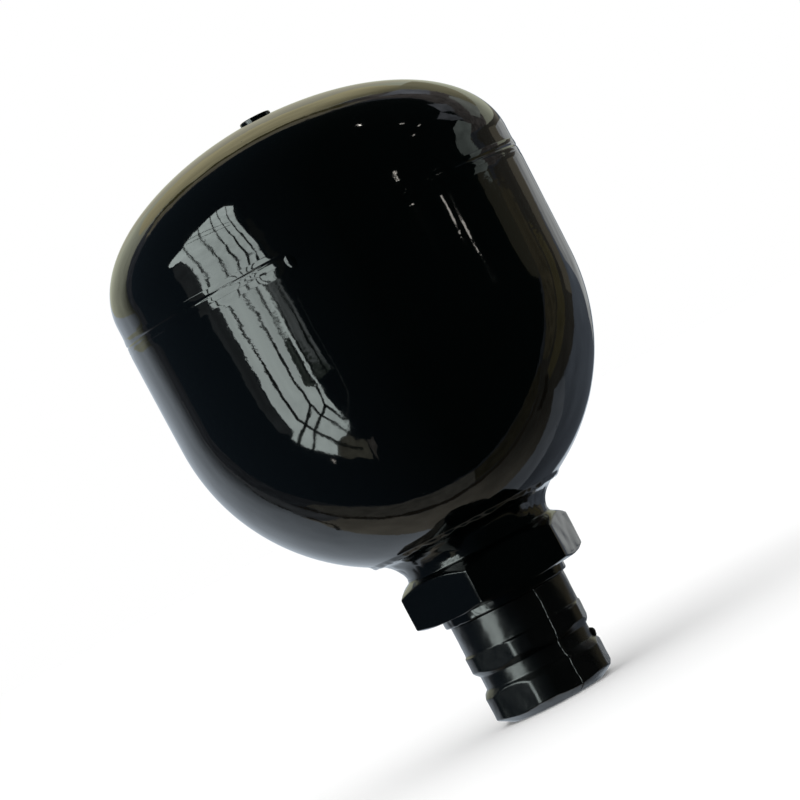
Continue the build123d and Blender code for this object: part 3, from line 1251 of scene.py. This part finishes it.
@dataclass(frozen=True)
class Glow:
    """A face that only shines, at a strength where white paper in this light is one."""

    name: str
    colour: str
    strength: float
    fade_from: float = 0.0  # along the face's own X, in millimetres
    fade_to: float = 0.0
    faded: float = 1.0  # share of the strength past fade_to
    mottle: float = 0.0  # share by which the brightness drifts
    mottle_mm: float = 900.0

    def build(self) -> bpy.types.Material:
        """Makes the material.

        Returns:
            The glow.
        """
        material, tree = new_surface(self.name)
        shader = add_node(tree, "Emission", {"Color": linear(self.colour), "Strength": self.strength})
        place = add_node(tree, "TexCoord").outputs["Object"]
        level = None
        if self.faded != 1.0:
            along = add_node(tree, "SeparateXYZ", links={0: place}).outputs["X"]
            level = add_node(
                tree,
                "MapRange",
                {
                    "interpolation_type": "SMOOTHSTEP",
                    "From Min": self.fade_from * MM,
                    "From Max": self.fade_to * MM,
                    "To Min": self.strength,
                    "To Max": self.strength * self.faded,
                },
                {"Value": along},
            ).outputs["Result"]
        if self.mottle:
            cloud = add_node(tree, "TexNoise", {"Scale": 1 / (self.mottle_mm * MM), "Detail": 3.0}, {"Vector": place})
            drift = add_node(
                tree,
                "MapRange",
                {"From Min": 0.3, "From Max": 0.7, "To Min": 1 - self.mottle, "To Max": 1 + self.mottle},
                {"Value": cloud.outputs["Fac"]},
            )
            product = add_node(
                tree, "Math", {"operation": "MULTIPLY"}, {0: drift.outputs["Result"]}
            )
            if level is None:
                product.inputs[1].default_value = self.strength
            else:
                tree.links.new(level, product.inputs[1])
            level = product.outputs["Value"]
        if level is not None:
            tree.links.new(level, shader.inputs["Strength"])
        add_node(tree, "OutputMaterial", links={"Surface": shader.outputs[0]})
        return material


@dataclass
class Room:
    """What the enamel mirrors: a table behind and under the vessel, a window, and small lamps.

    None of it is seen by the eye itself or lights anything but gloss.
    """

    window_distance: float = 1200.0
    lamp_distance: float = 1500.0
    table_drop: float = 3000.0  # from the vessel to the table, along the table's normal
    layer: float = 15.0  # between things that lie on each other
    pane_layer: float = 2.0
    pane_light: float = 6.0
    bar_half: float = 20.0
    bar_spread: float = 7e-6  # how a bar widens with the square of its distance towards the eye
    # Corners on the window's wall: distance towards the eye, and height.
    window_left: tuple[Point, ...] = (
        (626, 3214), (211, 3109), (138, 2703), (130, 2335), (136, 1767), (105, 1518), (139, 1190), (88, 1050),
        (42, 918), (20, 802), (53, 749), (118, 749), (170, 801), (252, 800), (356, 681), (474, 451), (530, 198),
        (548, 189), (504, 184), (503, 179), (560, 176), (578, 166), (600, 159), (618, 150), (616, 137), (622, 127),
        (660, 28), (674, -143), (683, -306), (571, -343), (605, -427), (713, -614), (825, -832), (950, -1062),
    )
    window_right: tuple[Point, ...] = (
        (626, 3214), (1105, 2453), (1724, 1509), (2094, 799), (2252, 266), (2139, 247), (2176, 235), (2309, 226),
        (2379, 209), (2418, 183), (2479, 157), (2476, 150), (1740, 140), (1764, 91), (1781, -98), (1804, -340),
        (1846, -605), (1906, -1007), (1608, -1126), (1314, -985), (1164, -960), (950, -1062),
    )
    far_edge: tuple[Point, ...] = (
        (2252, 266), (2176, 235), (2309, 226), (2379, 209), (2418, 183), (2479, 157), (2600, 60),
    )
    window_bars: tuple[tuple[Point, ...], ...] = (
        (
            (130, 1215), (419, 829), (585, 523), (639, 200), (682, 192), (680, 181), (725, 175), (745, 167),
            (761, 154), (781, 143), (801, 129), (813, 127), (849, 18), (867, -231), (918, -333), (997, -500),
            (1158, -925), (1358, -1329), (1569, -1673),
        ),
        (
            (110, 1810), (559, 1215), (801, 864), (960, 417), (986, 207), (1003, 201), (1000, 191), (1075, 184),
            (1084, 174), (1108, 159), (1146, 149), (1184, 135), (1257, -6), (1253, -190), (1303, -420),
            (1451, -691), (1592, -1117),
        ),
        (
            (110, 2380), (779, 1459), (1167, 793), (1297, 222), (1318, 212), (1338, 203), (1410, 198),
            (1432, 187), (1436, 166), (1469, 139), (1609, 130), (1662, -32), (1573, -379), (1701, -625),
            (1886, -959),
        ),
        (
            (130, 2730), (966, 1739), (1403, 1085), (1611, 267), (1636, 225), (1632, 212), (1689, 204),
            (1715, 188), (1752, 167), (1797, 145), (1790, 60),
        ),
        (
            (250, 3090), (1112, 2040), (1673, 1198), (1943, 251), (2015, 241), (2049, 230), (2085, 218),
            (2119, 201), (2178, 177), (2239, 153), (2260, 60),
        ),
    )
    transoms: tuple[tuple[Point, ...], ...] = (
        ((600, -440), (741, -389), (913, -347), (1099, -299), (1221, -220), (1264, -122)),
        ((700, -624), (859, -568), (993, -511), (1249, -456), (1433, -442), (1552, -403), (1615, -303)),
    )
    thin_transoms: tuple[tuple[Point, ...], ...] = (
        ((70, 1400), (326, 1549), (604, 1755), (1032, 2035)),
        ((156, 1270), (434, 1413), (730, 1578), (1158, 1837)),
    )
    tree: tuple[Point, ...] = (
        (1452, 128), (1560, 131), (1650, 126), (1665, 100), (1640, 60), (1613, -12), (1500, 20), (1425, 33),
        (1395, 85), (1404, 110),
    )
    tree_right: tuple[Point, ...] = (
        (1830, 106), (1900, 114), (2080, 103), (2190, 112), (2470, 104), (2600, 50), (2260, 62), (1840, 50),
    )
    streak: tuple[Point, ...] = ((1705, 140), (1765, 140), (1775, 110), (1730, 60), (1690, 60), (1720, 110))
    outer_frame: tuple[tuple[Point, ...], ...] = (
        ((1820, 70), (2200, 72), (2765, 69)),
        ((2947, 163), (2860, -250), (2726, -656), (2315, -832), (1958, -875)),
    )
    curtain: tuple[Point, ...] = (
        (950, -1070), (1164, -975), (1314, -1000), (1587, -1150), (1627, -1389), (1902, -1707), (1745, -1932),
        (1531, -2164), (1238, -1553), (1068, -1352),
    )
    sill: tuple[Point, ...] = ((1960, -1791), (2336, -2074), (2157, -2395), (1876, -2297), (1587, -2397), (1800, -1990))
    wall_beside: tuple[Point, ...] = (
        (127, 704), (283, 194), (307, 177), (373, 163), (410, 142), (430, 110), (474, 38), (497, -213),
        (649, -330), (655, -300), (648, -143), (640, 28), (600, 126), (596, 137), (598, 150), (560, 166),
        (540, 176), (485, 182), (528, 189), (510, 198), (455, 451), (335, 675), (240, 780),
    )
    reveal: tuple[Point, ...] = ((1700, 2122), (2050, 2250), (2900, 700), (2700, 236), (2420, 265), (2300, 647))

    def __post_init__(self) -> None:
        """Sets up the eye's own directions and the table's."""
        turn = radians(CAMERA_ANGLE)
        self.away = Vector((-cos(turn), -sin(turn), 0))
        self.right = Vector((-sin(turn), cos(turn), 0))
        self.up = Vector((0, 0, 1))
        self.table_normal = (self.right * -0.08 - self.away * 0.88 + self.up * 0.468).normalized()
        self.table_across = (self.right - self.table_normal * self.right.dot(self.table_normal)).normalized()
        self.table_up = self.table_across.cross(-self.table_normal)
        self.middle = self.up * 95.0

    def build(self) -> None:
        """Builds everything in the room."""
        self.lay_table()
        self.stand_boards()
        self.hang_window()
        self.hang_lamps()

    def face(self, name: str, corners: list[Vector], material: bpy.types.Material) -> None:
        """Makes one face that only gloss shows.

        Args:
            name: The object's name.
            corners: Its corners, in millimetres.
            material: Its finish.
        """
        if len(corners) < 3:
            return
        across = (corners[1] - corners[0]).normalized()
        flat = (corners[1] - corners[0]).cross(corners[2] - corners[0]).normalized()
        piece = flat_face(name, corners, Matrix((across, flat.cross(across), flat)), material)
        piece.visible_camera = False
        piece.visible_diffuse = False
        piece.visible_shadow = False
        piece.visible_transmission = False

    def lay(self, name: str, glow: Glow, height: int, outline: list[Point]) -> None:
        """Lays a flat thing on the table.

        Args:
            name: Its name.
            glow: How it shines.
            height: How many things it lies on.
            outline: Its corners across and up the table, as shares of the table's distance.
        """
        reach = self.table_drop - height * self.layer
        corners = [
            self.middle - self.table_normal * reach + (self.table_across * x + self.table_up * y) * reach
            for x, y in outline
        ]
        axes = Matrix((self.table_across, self.table_up, self.table_normal))
        piece = flat_face(name, corners, axes, glow.build(), self.middle - self.table_normal * reach)
        piece.visible_camera = False
        piece.visible_diffuse = False
        piece.visible_shadow = False
        piece.visible_transmission = False

    def lay_table(self) -> None:
        """Lays the pale olive table with its grooved edge, and the sheet of paper on it."""
        reach = self.table_drop
        outline = [(-0.8, 4.4), (0.1, 4.45), (0.7, 4.0), (0.95, 3.2), (1.3, 2.75), (2.4, 2.6), (2.8, 1.2), (2.75, 0.6)]
        outline += [(2.6, 0.0), (2.3, -0.8), (1.9, -1.4), (1.3, -1.75), (0.6, -1.95), (-0.1, -2.14), (-0.8, -2.16)]
        outline += [(-1.6, -2.08), (-2.3, -1.9), (-2.9, -1.35), (-3.2, -0.6), (-3.25, 0.3), (-3.1, 1.3), (-2.7, 2.5)]
        outline += [(-2.15, 3.4), (-1.5, 4.0)]
        end = Glow("shaded end of the table", "#e6efff", 0.125, mottle=0.3, mottle_mm=900)
        self.lay("table_edge", end, 0, outline)
        far_edge = [(-1.8, 3.1), (-1.4, 3.8), (-0.8, 4.25), (0.1, 4.3), (0.55, 3.95), (0.75, 3.4), (0.8, 2.8), (-1.0, 2.7)]
        self.lay("table_far_edge", Glow("far edge of the table", "#fff5d2", 0.36, mottle=0.3), 1, far_edge)
        dip = [(-1.2, 2.6), (-1.0, 3.1), (-0.5, 3.35), (0.0, 3.4), (0.55, 3.15), (0.75, 2.7), (0.3, 2.6)]
        self.lay("table_far_groove", Glow("far groove", "#fff2a2", 0.12, mottle=0.25), 2, dip)
        near_edge = [(-2.1, -1.15), (-1.2, -1.42), (-0.6, -1.5), (0.2, -1.42), (0.35, -1.9), (-0.1, -2.1), (-0.75, -2.12)]
        near_edge += [(-1.5, -2.05), (-2.0, -1.85), (-2.3, -1.5)]
        self.lay("table_near_edge", Glow("near edge of the table", "#fffbec", 0.28, mottle=0.3, mottle_mm=500), 1, near_edge)
        corner = [(0.2, -1.42), (0.5, -1.35), (1.3, -1.1), (2.0, -1.0), (1.9, -1.42), (1.3, -1.7), (0.35, -1.9)]
        self.lay("table_corner", Glow("near corner of the table", "#fff2c6", 0.09, mottle=0.3, mottle_mm=500), 1, corner)
        near = [(-2.25, 0.8), (1.2, 0.75), (2.1, 0.6), (2.5, 0.3), (2.2, -0.5), (1.9, -1.0), (1.1, -1.12), (0.4, -1.25)]
        near += [(-0.1, -1.32), (-0.7, -1.36), (-1.2, -1.28), (-1.8, -1.1), (-2.15, -0.7), (-2.3, 0.0)]
        # painted shadow: the glow fades to a fifth towards the right, where the vessel's own shadow falls on the
        # mirrored table
        half = Glow("near half of the table with painted shadow", "#fff7e4", 0.46, -0.6 * reach, 0.9 * reach, 0.2, 0.2)
        self.lay("table_near", half, 2, near)
        left = [(-2.25, 0.8), (-1.75, 0.8), (-1.7, -0.3), (-1.35, -0.85), (-1.4, -1.25), (-1.8, -1.1), (-2.15, -0.7)]
        self.lay("table_left", Glow("shaded left of the table", "#f0f6ff", 0.25, mottle=0.3), 3, [*left, (-2.3, 0.0)])
        far = [(-2.35, 0.75), (-2.15, 1.5), (-1.75, 2.0), (-1.2, 2.4), (-0.75, 2.6), (-0.6, 2.9), (-0.1, 3.0), (0.35, 2.8)]
        far += [(0.5, 2.2), (0.65, 1.6), (1.0, 1.1), (1.2, 0.7)]
        pale = Glow("sunlit far half of the table", "#fbffe4", 0.62, -1.25 * reach, -2.2 * reach, 0.2, 0.12)
        self.lay("table_far", pale, 3, far)
        sunlit = [(-1.0, 2.3), (-0.7, 2.6), (-0.55, 2.88), (-0.1, 2.98), (0.33, 2.78), (0.45, 2.2), (0.5, 1.5), (0.1, 1.2)]
        sunlit += [(-0.5, 1.4), (-0.9, 1.9)]
        yellow = Glow("yellow sunlit patch", "#fff5c4", 0.72, 0.1 * reach, 0.48 * reach, 0.5, 0.15)
        self.lay("table_sunlit", yellow, 4, sunlit)
        turned_away = [(0.16, 0.98), (0.45, 1.02), (1.0, 1.02), (0.95, 1.15), (0.62, 1.6), (0.5, 2.2), (0.44, 1.6), (0.3, 1.3)]
        self.lay("table_turned_away", Glow("table turning away", "#fff8cc", 0.34, mottle=0.15), 5, turned_away)
        right = [(0.55, 2.9), (1.2, 2.7), (2.3, 2.6), (2.7, 1.2), (2.7, 0.72), (1.15, 0.72), (0.95, 1.15), (0.62, 1.6)]
        dusky = Glow("shaded right of the table", "#fff4ee", 0.17, mottle=0.5, mottle_mm=500)
        self.lay("table_right", dusky, 4, [*right, (0.5, 2.2)])
        wall = [(-0.36, 0.84), (-0.33, 1.2), (-0.2, 1.42), (0.06, 1.42), (0.16, 1.1), (0.14, 0.86)]
        self.lay("wall_behind", Glow("white wall straight behind", "#fffbe0", 0.55), 6, wall)
        pale_end = [(0.84, 1.02), (1.25, 0.92), (1.6, 1.22), (1.3, 1.48), (1.0, 1.58), (0.84, 1.45)]
        self.lay("table_pale_end", Glow("pale end of the table", "#f8fff4", 0.42, mottle=0.2), 6, pale_end)
        olive = Glow("olive strip", "#fff0b4", 0.19, mottle=0.2)
        self.lay("table_strip", olive, 3, [(1.26, 0.5), (1.6, 0.5), (1.62, -0.2), (1.5, -0.75), (1.3, -0.7)])
        dull = Glow("dull strip", "#fff0c4", 0.17, mottle=0.35, mottle_mm=500)
        self.lay("table_dull", dull, 3, [(1.7, 0.52), (2.6, 0.52), (2.3, -0.4), (1.9, -0.9), (1.65, -0.7)])
        self.lay("table_end", Glow("right end", "#fff8d4", 0.14), 3, [(2.6, 0.2), (2.6, 0.62), (5, 0.62), (5, 0.42), (3.4, 0.2)])
        dark = Glow("dark mark", "#ffe9c8", 0.04)
        groove = ((-2.05, -1.0), (-1.5, -1.3), (-1.1, -1.38), (-0.6, -1.43), (0.0, -1.38), (0.5, -1.28), (1.0, -1.12))
        self.lay("table_groove", Glow("groove in the table", "#ffe9c8", 0.07), 3, ribbon((*groove, (1.35, -0.98)), 0.0, 0.055))
        self.lay("table_mark", dark, 4, [(1.0, -0.84), (1.2, -0.76), (1.42, -0.74), (1.46, -0.84), (1.2, -0.9), (1.03, -0.95)])
        self.lay("table_crumb_0", dark, 6, ribbon(((-2.05, -0.1), (-1.78, -0.42), (-1.65, -0.62)), 0.03, 0.0))
        self.lay("table_crumb_1", dark, 6, ribbon(((-1.5, -0.74), (-1.2, -0.86), (-1.0, -0.72)), 0.0, 0.025))
        paper = [(-2.2, 0.82), (-1.2, 0.75), (0.12, 0.7), (0.12, -0.7), (-0.75, -0.74), (-1.3, -0.74), (-1.75, -0.5), (-2.1, -0.1)]
        sheet = Glow("bluish paper", "#e7f3ff", 0.8, -1.25 * reach, -2.15 * reach, 0.25, 0.1)
        self.lay("paper", sheet, 5, paper)
        turned = [(0.12, 0.7), (0.85, 0.52), (0.93, 0.1), (1.0, -0.55), (0.5, -0.62), (0.12, -0.7)]
        shade = Glow("paper in half shade", "#dcebff", 0.14, 0.25 * reach, 0.85 * reach, 2.1, 0.2)
        self.lay("paper_right", shade, 5, turned)
        near_side = [(0.12, -0.7), (0.5, -0.62), (1.0, -0.55), (0.97, -0.32), (0.6, -0.3), (0.12, -0.42)]
        self.lay("paper_near_side", Glow("near side of the paper", "#e6f1ff", 0.38, mottle=0.2), 6, near_side)
        far_side = [(0.2, 0.38), (0.36, 0.36), (0.5, 0.43), (0.74, 0.48), (0.78, 0.6), (0.5, 0.64), (0.2, 0.64)]
        self.lay("paper_far_side", Glow("lit far side of the paper", "#fbffff", 0.58, mottle=0.3, mottle_mm=300), 6, far_side)
        beside = [(0.7, 0.28), (1.1, 0.26), (1.14, 0.62), (0.74, 0.62)]
        self.lay("table_beside", Glow("table beside the paper", "#fff4d8", 0.24, mottle=0.2), 4, beside)

    def stand_boards(self) -> None:
        """Stands a few pale boards beyond the table's right end."""
        white = Glow("pale board", "#f0fff7", 0.55, mottle=0.3, mottle_mm=250).build()
        grey = Glow("grey board", "#eef4ff", 0.36, mottle=0.4, mottle_mm=200).build()
        for i, (board, corners) in enumerate(
            (
                (grey, ((19.0, 41.2), (29.6, 34.8), (24.0, 30.4), (19.0, 33.4))),
                (grey, ((40.1, 43.3), (52.8, 39.7), (50.7, 31.7), (42.2, 34.8))),
                (grey, ((53.0, 40.5), (62.3, 42.2), (65.0, 31.7), (59.0, 23.5))),
                (white, ((62.3, 27.4), (73.9, 25.3), (85.5, 5.0), (73.8, 3.1), (61.2, 16.9))),
            )
        ):
            places = [self.middle + self.heading(*corner) * self.lamp_distance for corner in corners]
            self.face(f"board_{i}", places, board)

    def heading(self, degrees_right: float, degrees_up: float) -> Vector:
        """The direction that lies so many degrees to the right and up from straight behind the vessel."""
        off, around = radians(hypot(degrees_right, degrees_up)), atan2(degrees_up, degrees_right)
        return self.right * sin(off) * cos(around) + self.away * cos(off) + self.up * sin(off) * sin(around)

    def hang_window(self) -> None:
        """Hangs the tall window in the wall to the left of the eye."""
        light = self.pane_light
        day = Glow("daylight in the panes", "#f1fffb", light, mottle=0.12, mottle_mm=260).build()
        dim = Glow("shaded panes", "#f3ffff", light * 0.16, mottle=0.45, mottle_mm=90).build()
        shade = Glow("tree behind the window", "#e9fff0", light * 0.05, mottle=0.8, mottle_mm=60).build()
        frame_dark = Glow("window bars", "#dff5f0", 0.05).build()
        rail = Glow("faint outer frame", "#f3ffff", light * 0.03, mottle=0.7, mottle_mm=90).build()
        curtain = Glow("curtain under the window", "#f6f4dc", light * 0.09, mottle=0.3, mottle_mm=260).build()
        sill = Glow("grey end of the sill", "#fff8ee", light * 0.06, mottle=0.4, mottle_mm=200).build()
        wall = Glow("wall beside the window", "#edf9ff", light * 0.04, mottle=0.3, mottle_mm=200).build()
        reveal = Glow("streaks beside the window", "#f3ffff", light * 0.012, mottle=1.0, mottle_mm=70).build()
        left, right = self.window_left, self.window_right
        self.hang("panes", [*left, *reversed(right)], day)
        bars = self.window_bars
        for i, (inner, outer) in enumerate(((bars[3], bars[4]), (bars[4], self.far_edge))):
            shaded = [p for p in inner if p[1] < 232] + [p for p in reversed(outer) if p[1] < 232]
            self.hang(f"shaded_panes_{i}", shaded, dim, 1)
        self.hang("tree", self.tree, shade, 2)
        self.hang("tree_right", self.tree_right, shade, 2)
        self.hang("streak", self.streak, day, 3)
        for i, bar in enumerate(bars):
            self.hang(f"bar_{i}", ribbon(bar, self.bar_half, 0, self.bar_spread), frame_dark, 4)
        for i, bar in enumerate(self.transoms):
            self.hang(f"transom_{i}", ribbon(bar, 12, 25), frame_dark, 4)
        for i, bar in enumerate(self.thin_transoms):
            self.hang(f"thin_transom_{i}", ribbon(bar, 0, 14), frame_dark, 4)
        self.hang("curtain", self.curtain, curtain)
        self.hang("sill", self.sill, sill)
        for i, bar in enumerate(self.outer_frame):
            self.hang(f"rail_{i}", ribbon(bar, 26, 14), rail)
        self.hang("wall_left", self.wall_beside, wall)
        self.hang("reveal", self.reveal, reveal)

    def hang(self, name: str, outline: list[Point], material: bpy.types.Material, nearer: int = 0) -> None:
        """Hangs a shining polygon on the left wall.

        Args:
            name: Its name.
            outline: Distance towards the eye and height of each corner, in millimetres.
            material: What it shines with.
            nearer: How many things hang behind it.
        """
        wall = self.right * (nearer * self.pane_layer - self.window_distance)
        self.face(name, [wall - self.away * s + self.up * z for s, z in outline], material)

    def hang_lamps(self) -> None:
        """Sets the lamps to the right, which the enamel shows as thin bright lines and dots."""
        bright = Glow("lamp", "#fffaf0", 16.0).build()
        tube = Glow("lamp tube", "#fffaf0", 6.0).build()
        for i, (right, toward, height, wide, tall, lamp) in enumerate(
            (
                (1437, 558, 148, 15, 10, tube),
                (1479, 428, 131, 15, 10, tube),
                (1205, 967, 227, 24, 4, bright),
                (1205, 967, 203, 22, 4, bright),
                (1213, 957, 184, 20, 5, bright),
                (610, -320, 1472, 26, 14, bright),
                (1010, -160, 1242, 11, 10, tube),
                (1045, -160, 1242, 11, 10, tube),
                (1278, 170, 956, 22, 14, tube),
                (1209, -140, 1048, 22, 8, tube),
                (-1190, 780, -982, 15, 26, tube),
            )
        ):
            centre = self.right * right - self.away * toward + self.up * height
            facing = (centre - self.middle).normalized()
            side = facing.cross(self.up).normalized()
            top = side.cross(facing).normalized()
            corners = [centre + side * wide * a + top * tall * b for a, b in ((-1, -1), (1, -1), (1, 1), (-1, 1))]
            self.face(f"lamp_{i}", corners, lamp)


def ribbon(line: tuple[Point, ...], wide: float, tall: float, spread: float = 0.0) -> list[Point]:
    """Gives a line on the wall some width.

    Args:
        line: Distance towards the eye and height of each point.
        wide: How far the edges lie to either side.
        tall: How far they lie above and below.
        spread: How the sideways width grows with the square of the distance.

    Returns:
        The ribbon's corners in order.
    """
    near = [(s - wide - spread * s * s, z + tall) for s, z in line]
    far = [(s + wide + spread * s * s, z - tall) for s, z in reversed(line)]
    return near + far


def flat_face(
    name: str,
    corners: list[Vector],
    axes: Matrix,
    material: bpy.types.Material,
    origin: Vector | None = None,
) -> bpy.types.Object:
    """Makes one face of the stage.

    Args:
        name: The object's name.
        corners: Its corners, in millimetres.
        axes: The face's own axes, as rows.
        material: Its finish.
        origin: Where its own nought lies, if not at the middle of its corners.

    Returns:
        The new object.
    """
    centre = origin or sum(corners, Vector()) / len(corners)
    mesh = bpy.data.meshes.new(name)
    mesh.from_pydata([axes @ (c - centre) * MM for c in corners], [], [tuple(range(len(corners)))])
    mesh.materials.append(material)
    piece = bpy.data.objects.new(name, mesh)
    piece.matrix_world = Matrix.Translation(centre * MM) @ axes.transposed().to_4x4()
    bpy.context.scene.collection.objects.link(piece)
    return piece


@dataclass
class Studio:
    """The floor, the white surroundings, the key light and the eye.

    The eye stands level with the vessel and is rolled, as the photograph was taken.
    """

    eye_distance: float = 880.7
    eye_height: float = 81.0
    eye_aside: float = -0.5
    roll: float = 27.68
    focal_length: float = 165.1  # for a 36 mm frame
    floor_reach: float = 3000.0

    def build(self) -> None:
        """Builds the studio and what the enamel mirrors."""
        self.room = Room()
        self.room.build()
        self.build_camera()
        self.build_world()
        self.build_floor()
        self.build_key_light()

    def build_camera(self) -> None:
        """Stands the camera at the photograph's view."""
        room = self.room
        lens = bpy.data.cameras.new("eye")
        lens.lens = self.focal_length
        lens.sensor_width = 36
        lens.clip_start = 0.01
        lens.clip_end = 50
        camera = bpy.data.objects.new("eye", lens)
        bpy.context.scene.collection.objects.link(camera)
        c, s = cos(radians(self.roll)), sin(radians(self.roll))
        across = room.right * c - room.up * s
        upward = room.right * s + room.up * c
        place = (room.right * self.eye_aside - room.away * self.eye_distance + room.up * self.eye_height) * MM
        turn = Matrix((across, upward, -room.away)).transposed().to_4x4()
        camera.matrix_world = Matrix.Translation(place) @ turn
        bpy.context.scene.camera = camera

    def build_world(self) -> None:
        """Makes the air white to the eye and for soft light, and a dim room in reflections."""
        world = bpy.data.worlds.new("room")
        world.use_nodes = True
        tree = world.node_tree
        tree.nodes.clear()
        bpy.context.scene.world = world
        heading = add_node(tree, "TexCoord").outputs["Generated"]
        toward = add_node(tree, "VectorMath", {"operation": "DOT_PRODUCT"}, {0: heading})
        toward.inputs[1].default_value = self.room.right * -1.0
        share = add_node(tree, "MapRange", {"From Min": -0.2, "From Max": 1.0}, {"Value": toward.outputs["Value"]})
        tone = add_node(tree, "Mix", {"data_type": "RGBA"}, {0: share.outputs["Result"]})
        tone.inputs[6].default_value = (0.006, 0.009, 0.009, 1)
        tone.inputs[7].default_value = (0.045, 0.065, 0.09, 1)
        dusk = add_node(tree, "Background", {"Strength": 1.0}, {"Color": tone.outputs[2]})
        white = add_node(tree, "Background", {"Color": (1, 1, 1, 1), "Strength": 1.0})
        path = add_node(tree, "LightPath")
        chosen = add_node(
            tree,
            "MixShader",
            links={0: path.outputs["Is Glossy Ray"], 1: white.outputs[0], 2: dusk.outputs[0]},
        )
        add_node(tree, "OutputWorld", links={"Surface": chosen.outputs[0]})

    def build_floor(self) -> None:
        """Lays the pale floor, which the enamel doesn't mirror but which keeps the shadow."""
        material, tree = new_surface("white paper floor")
        shader = add_node(tree, "BsdfDiffuse", {"Color": (0.93, 0.93, 0.93, 1)})
        lift = add_node(tree, "Emission", {"Color": (1, 1, 1, 1)})
        path = add_node(tree, "LightPath")
        share = add_node(tree, "Math", {"operation": "MULTIPLY"}, {0: path.outputs["Is Camera Ray"]})
        share.inputs[1].default_value = 0.07
        tree.links.new(share.outputs[0], lift.inputs["Strength"])
        both = add_node(tree, "AddShader", links={0: shader.outputs[0], 1: lift.outputs[0]})
        add_node(tree, "OutputMaterial", links={"Surface": both.outputs[0]})
        reach = self.floor_reach
        corners = [Vector((x * reach, y * reach, -0.02)) for x, y in ((-1, -1), (1, -1), (1, 1), (-1, 1))]
        floor = flat_face("floor", corners, Matrix.Identity(3), material)
        floor.visible_glossy = False

    def build_key_light(self) -> None:
        """Hangs one large soft lamp high on the window's side."""
        room = self.room
        lamp = bpy.data.lights.new("key", "AREA")
        lamp.shape = "RECTANGLE"
        lamp.size, lamp.size_y = 1.2, 1.2
        lamp.energy = 6.0
        holder = bpy.data.objects.new("key", lamp)
        bpy.context.scene.collection.objects.link(holder)
        place = (room.right * -900 - room.away * 900 + room.up * 1300) * MM
        holder.matrix_world = Matrix.Translation(place) @ place.to_track_quat("Z", "Y").to_matrix().to_4x4()
        holder.visible_glossy = False


def dress(node: str, material: bpy.types.Material) -> None:
    """Gives a solid of the frame its finish.

    Args:
        node: The solid's name.
        material: The finish.
    """
    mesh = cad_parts[node].data
    mesh.materials.clear()
    mesh.materials.append(material)
    mesh.shade_smooth()
    LOG.info("%s: kept from the frame", node)


def main() -> None:
    """Builds the accumulator piece by piece, then the room."""
    logging.basicConfig(level=logging.INFO, format="%(name)s: %(message)s")
    bpy.context.scene.view_settings.view_transform = "Standard"
    shop = Paintshop()
    vessel = Vessel(shop.shell)
    vessel.build()
    PortBoss(vessel, shop.neck).build()
    PortAdapter(shop.adapter, shop.port_steel).build()
    Washer(shop.neck).build()
    ChargingScrew(shop.neck).build()
    Diaphragm(vessel, shop.diaphragm).build()
    SpatterNibs(vessel, shop.shell).build()
    for node, material in (
        ("washer_lip", shop.seal),
        ("charging_screw_o_ring", shop.seal),
        ("clamp_ring", shop.ring_steel),
        ("closing_button", shop.button),
    ):
        dress(node, material)
    Studio().build()


if __name__ == "__main__":
    main()
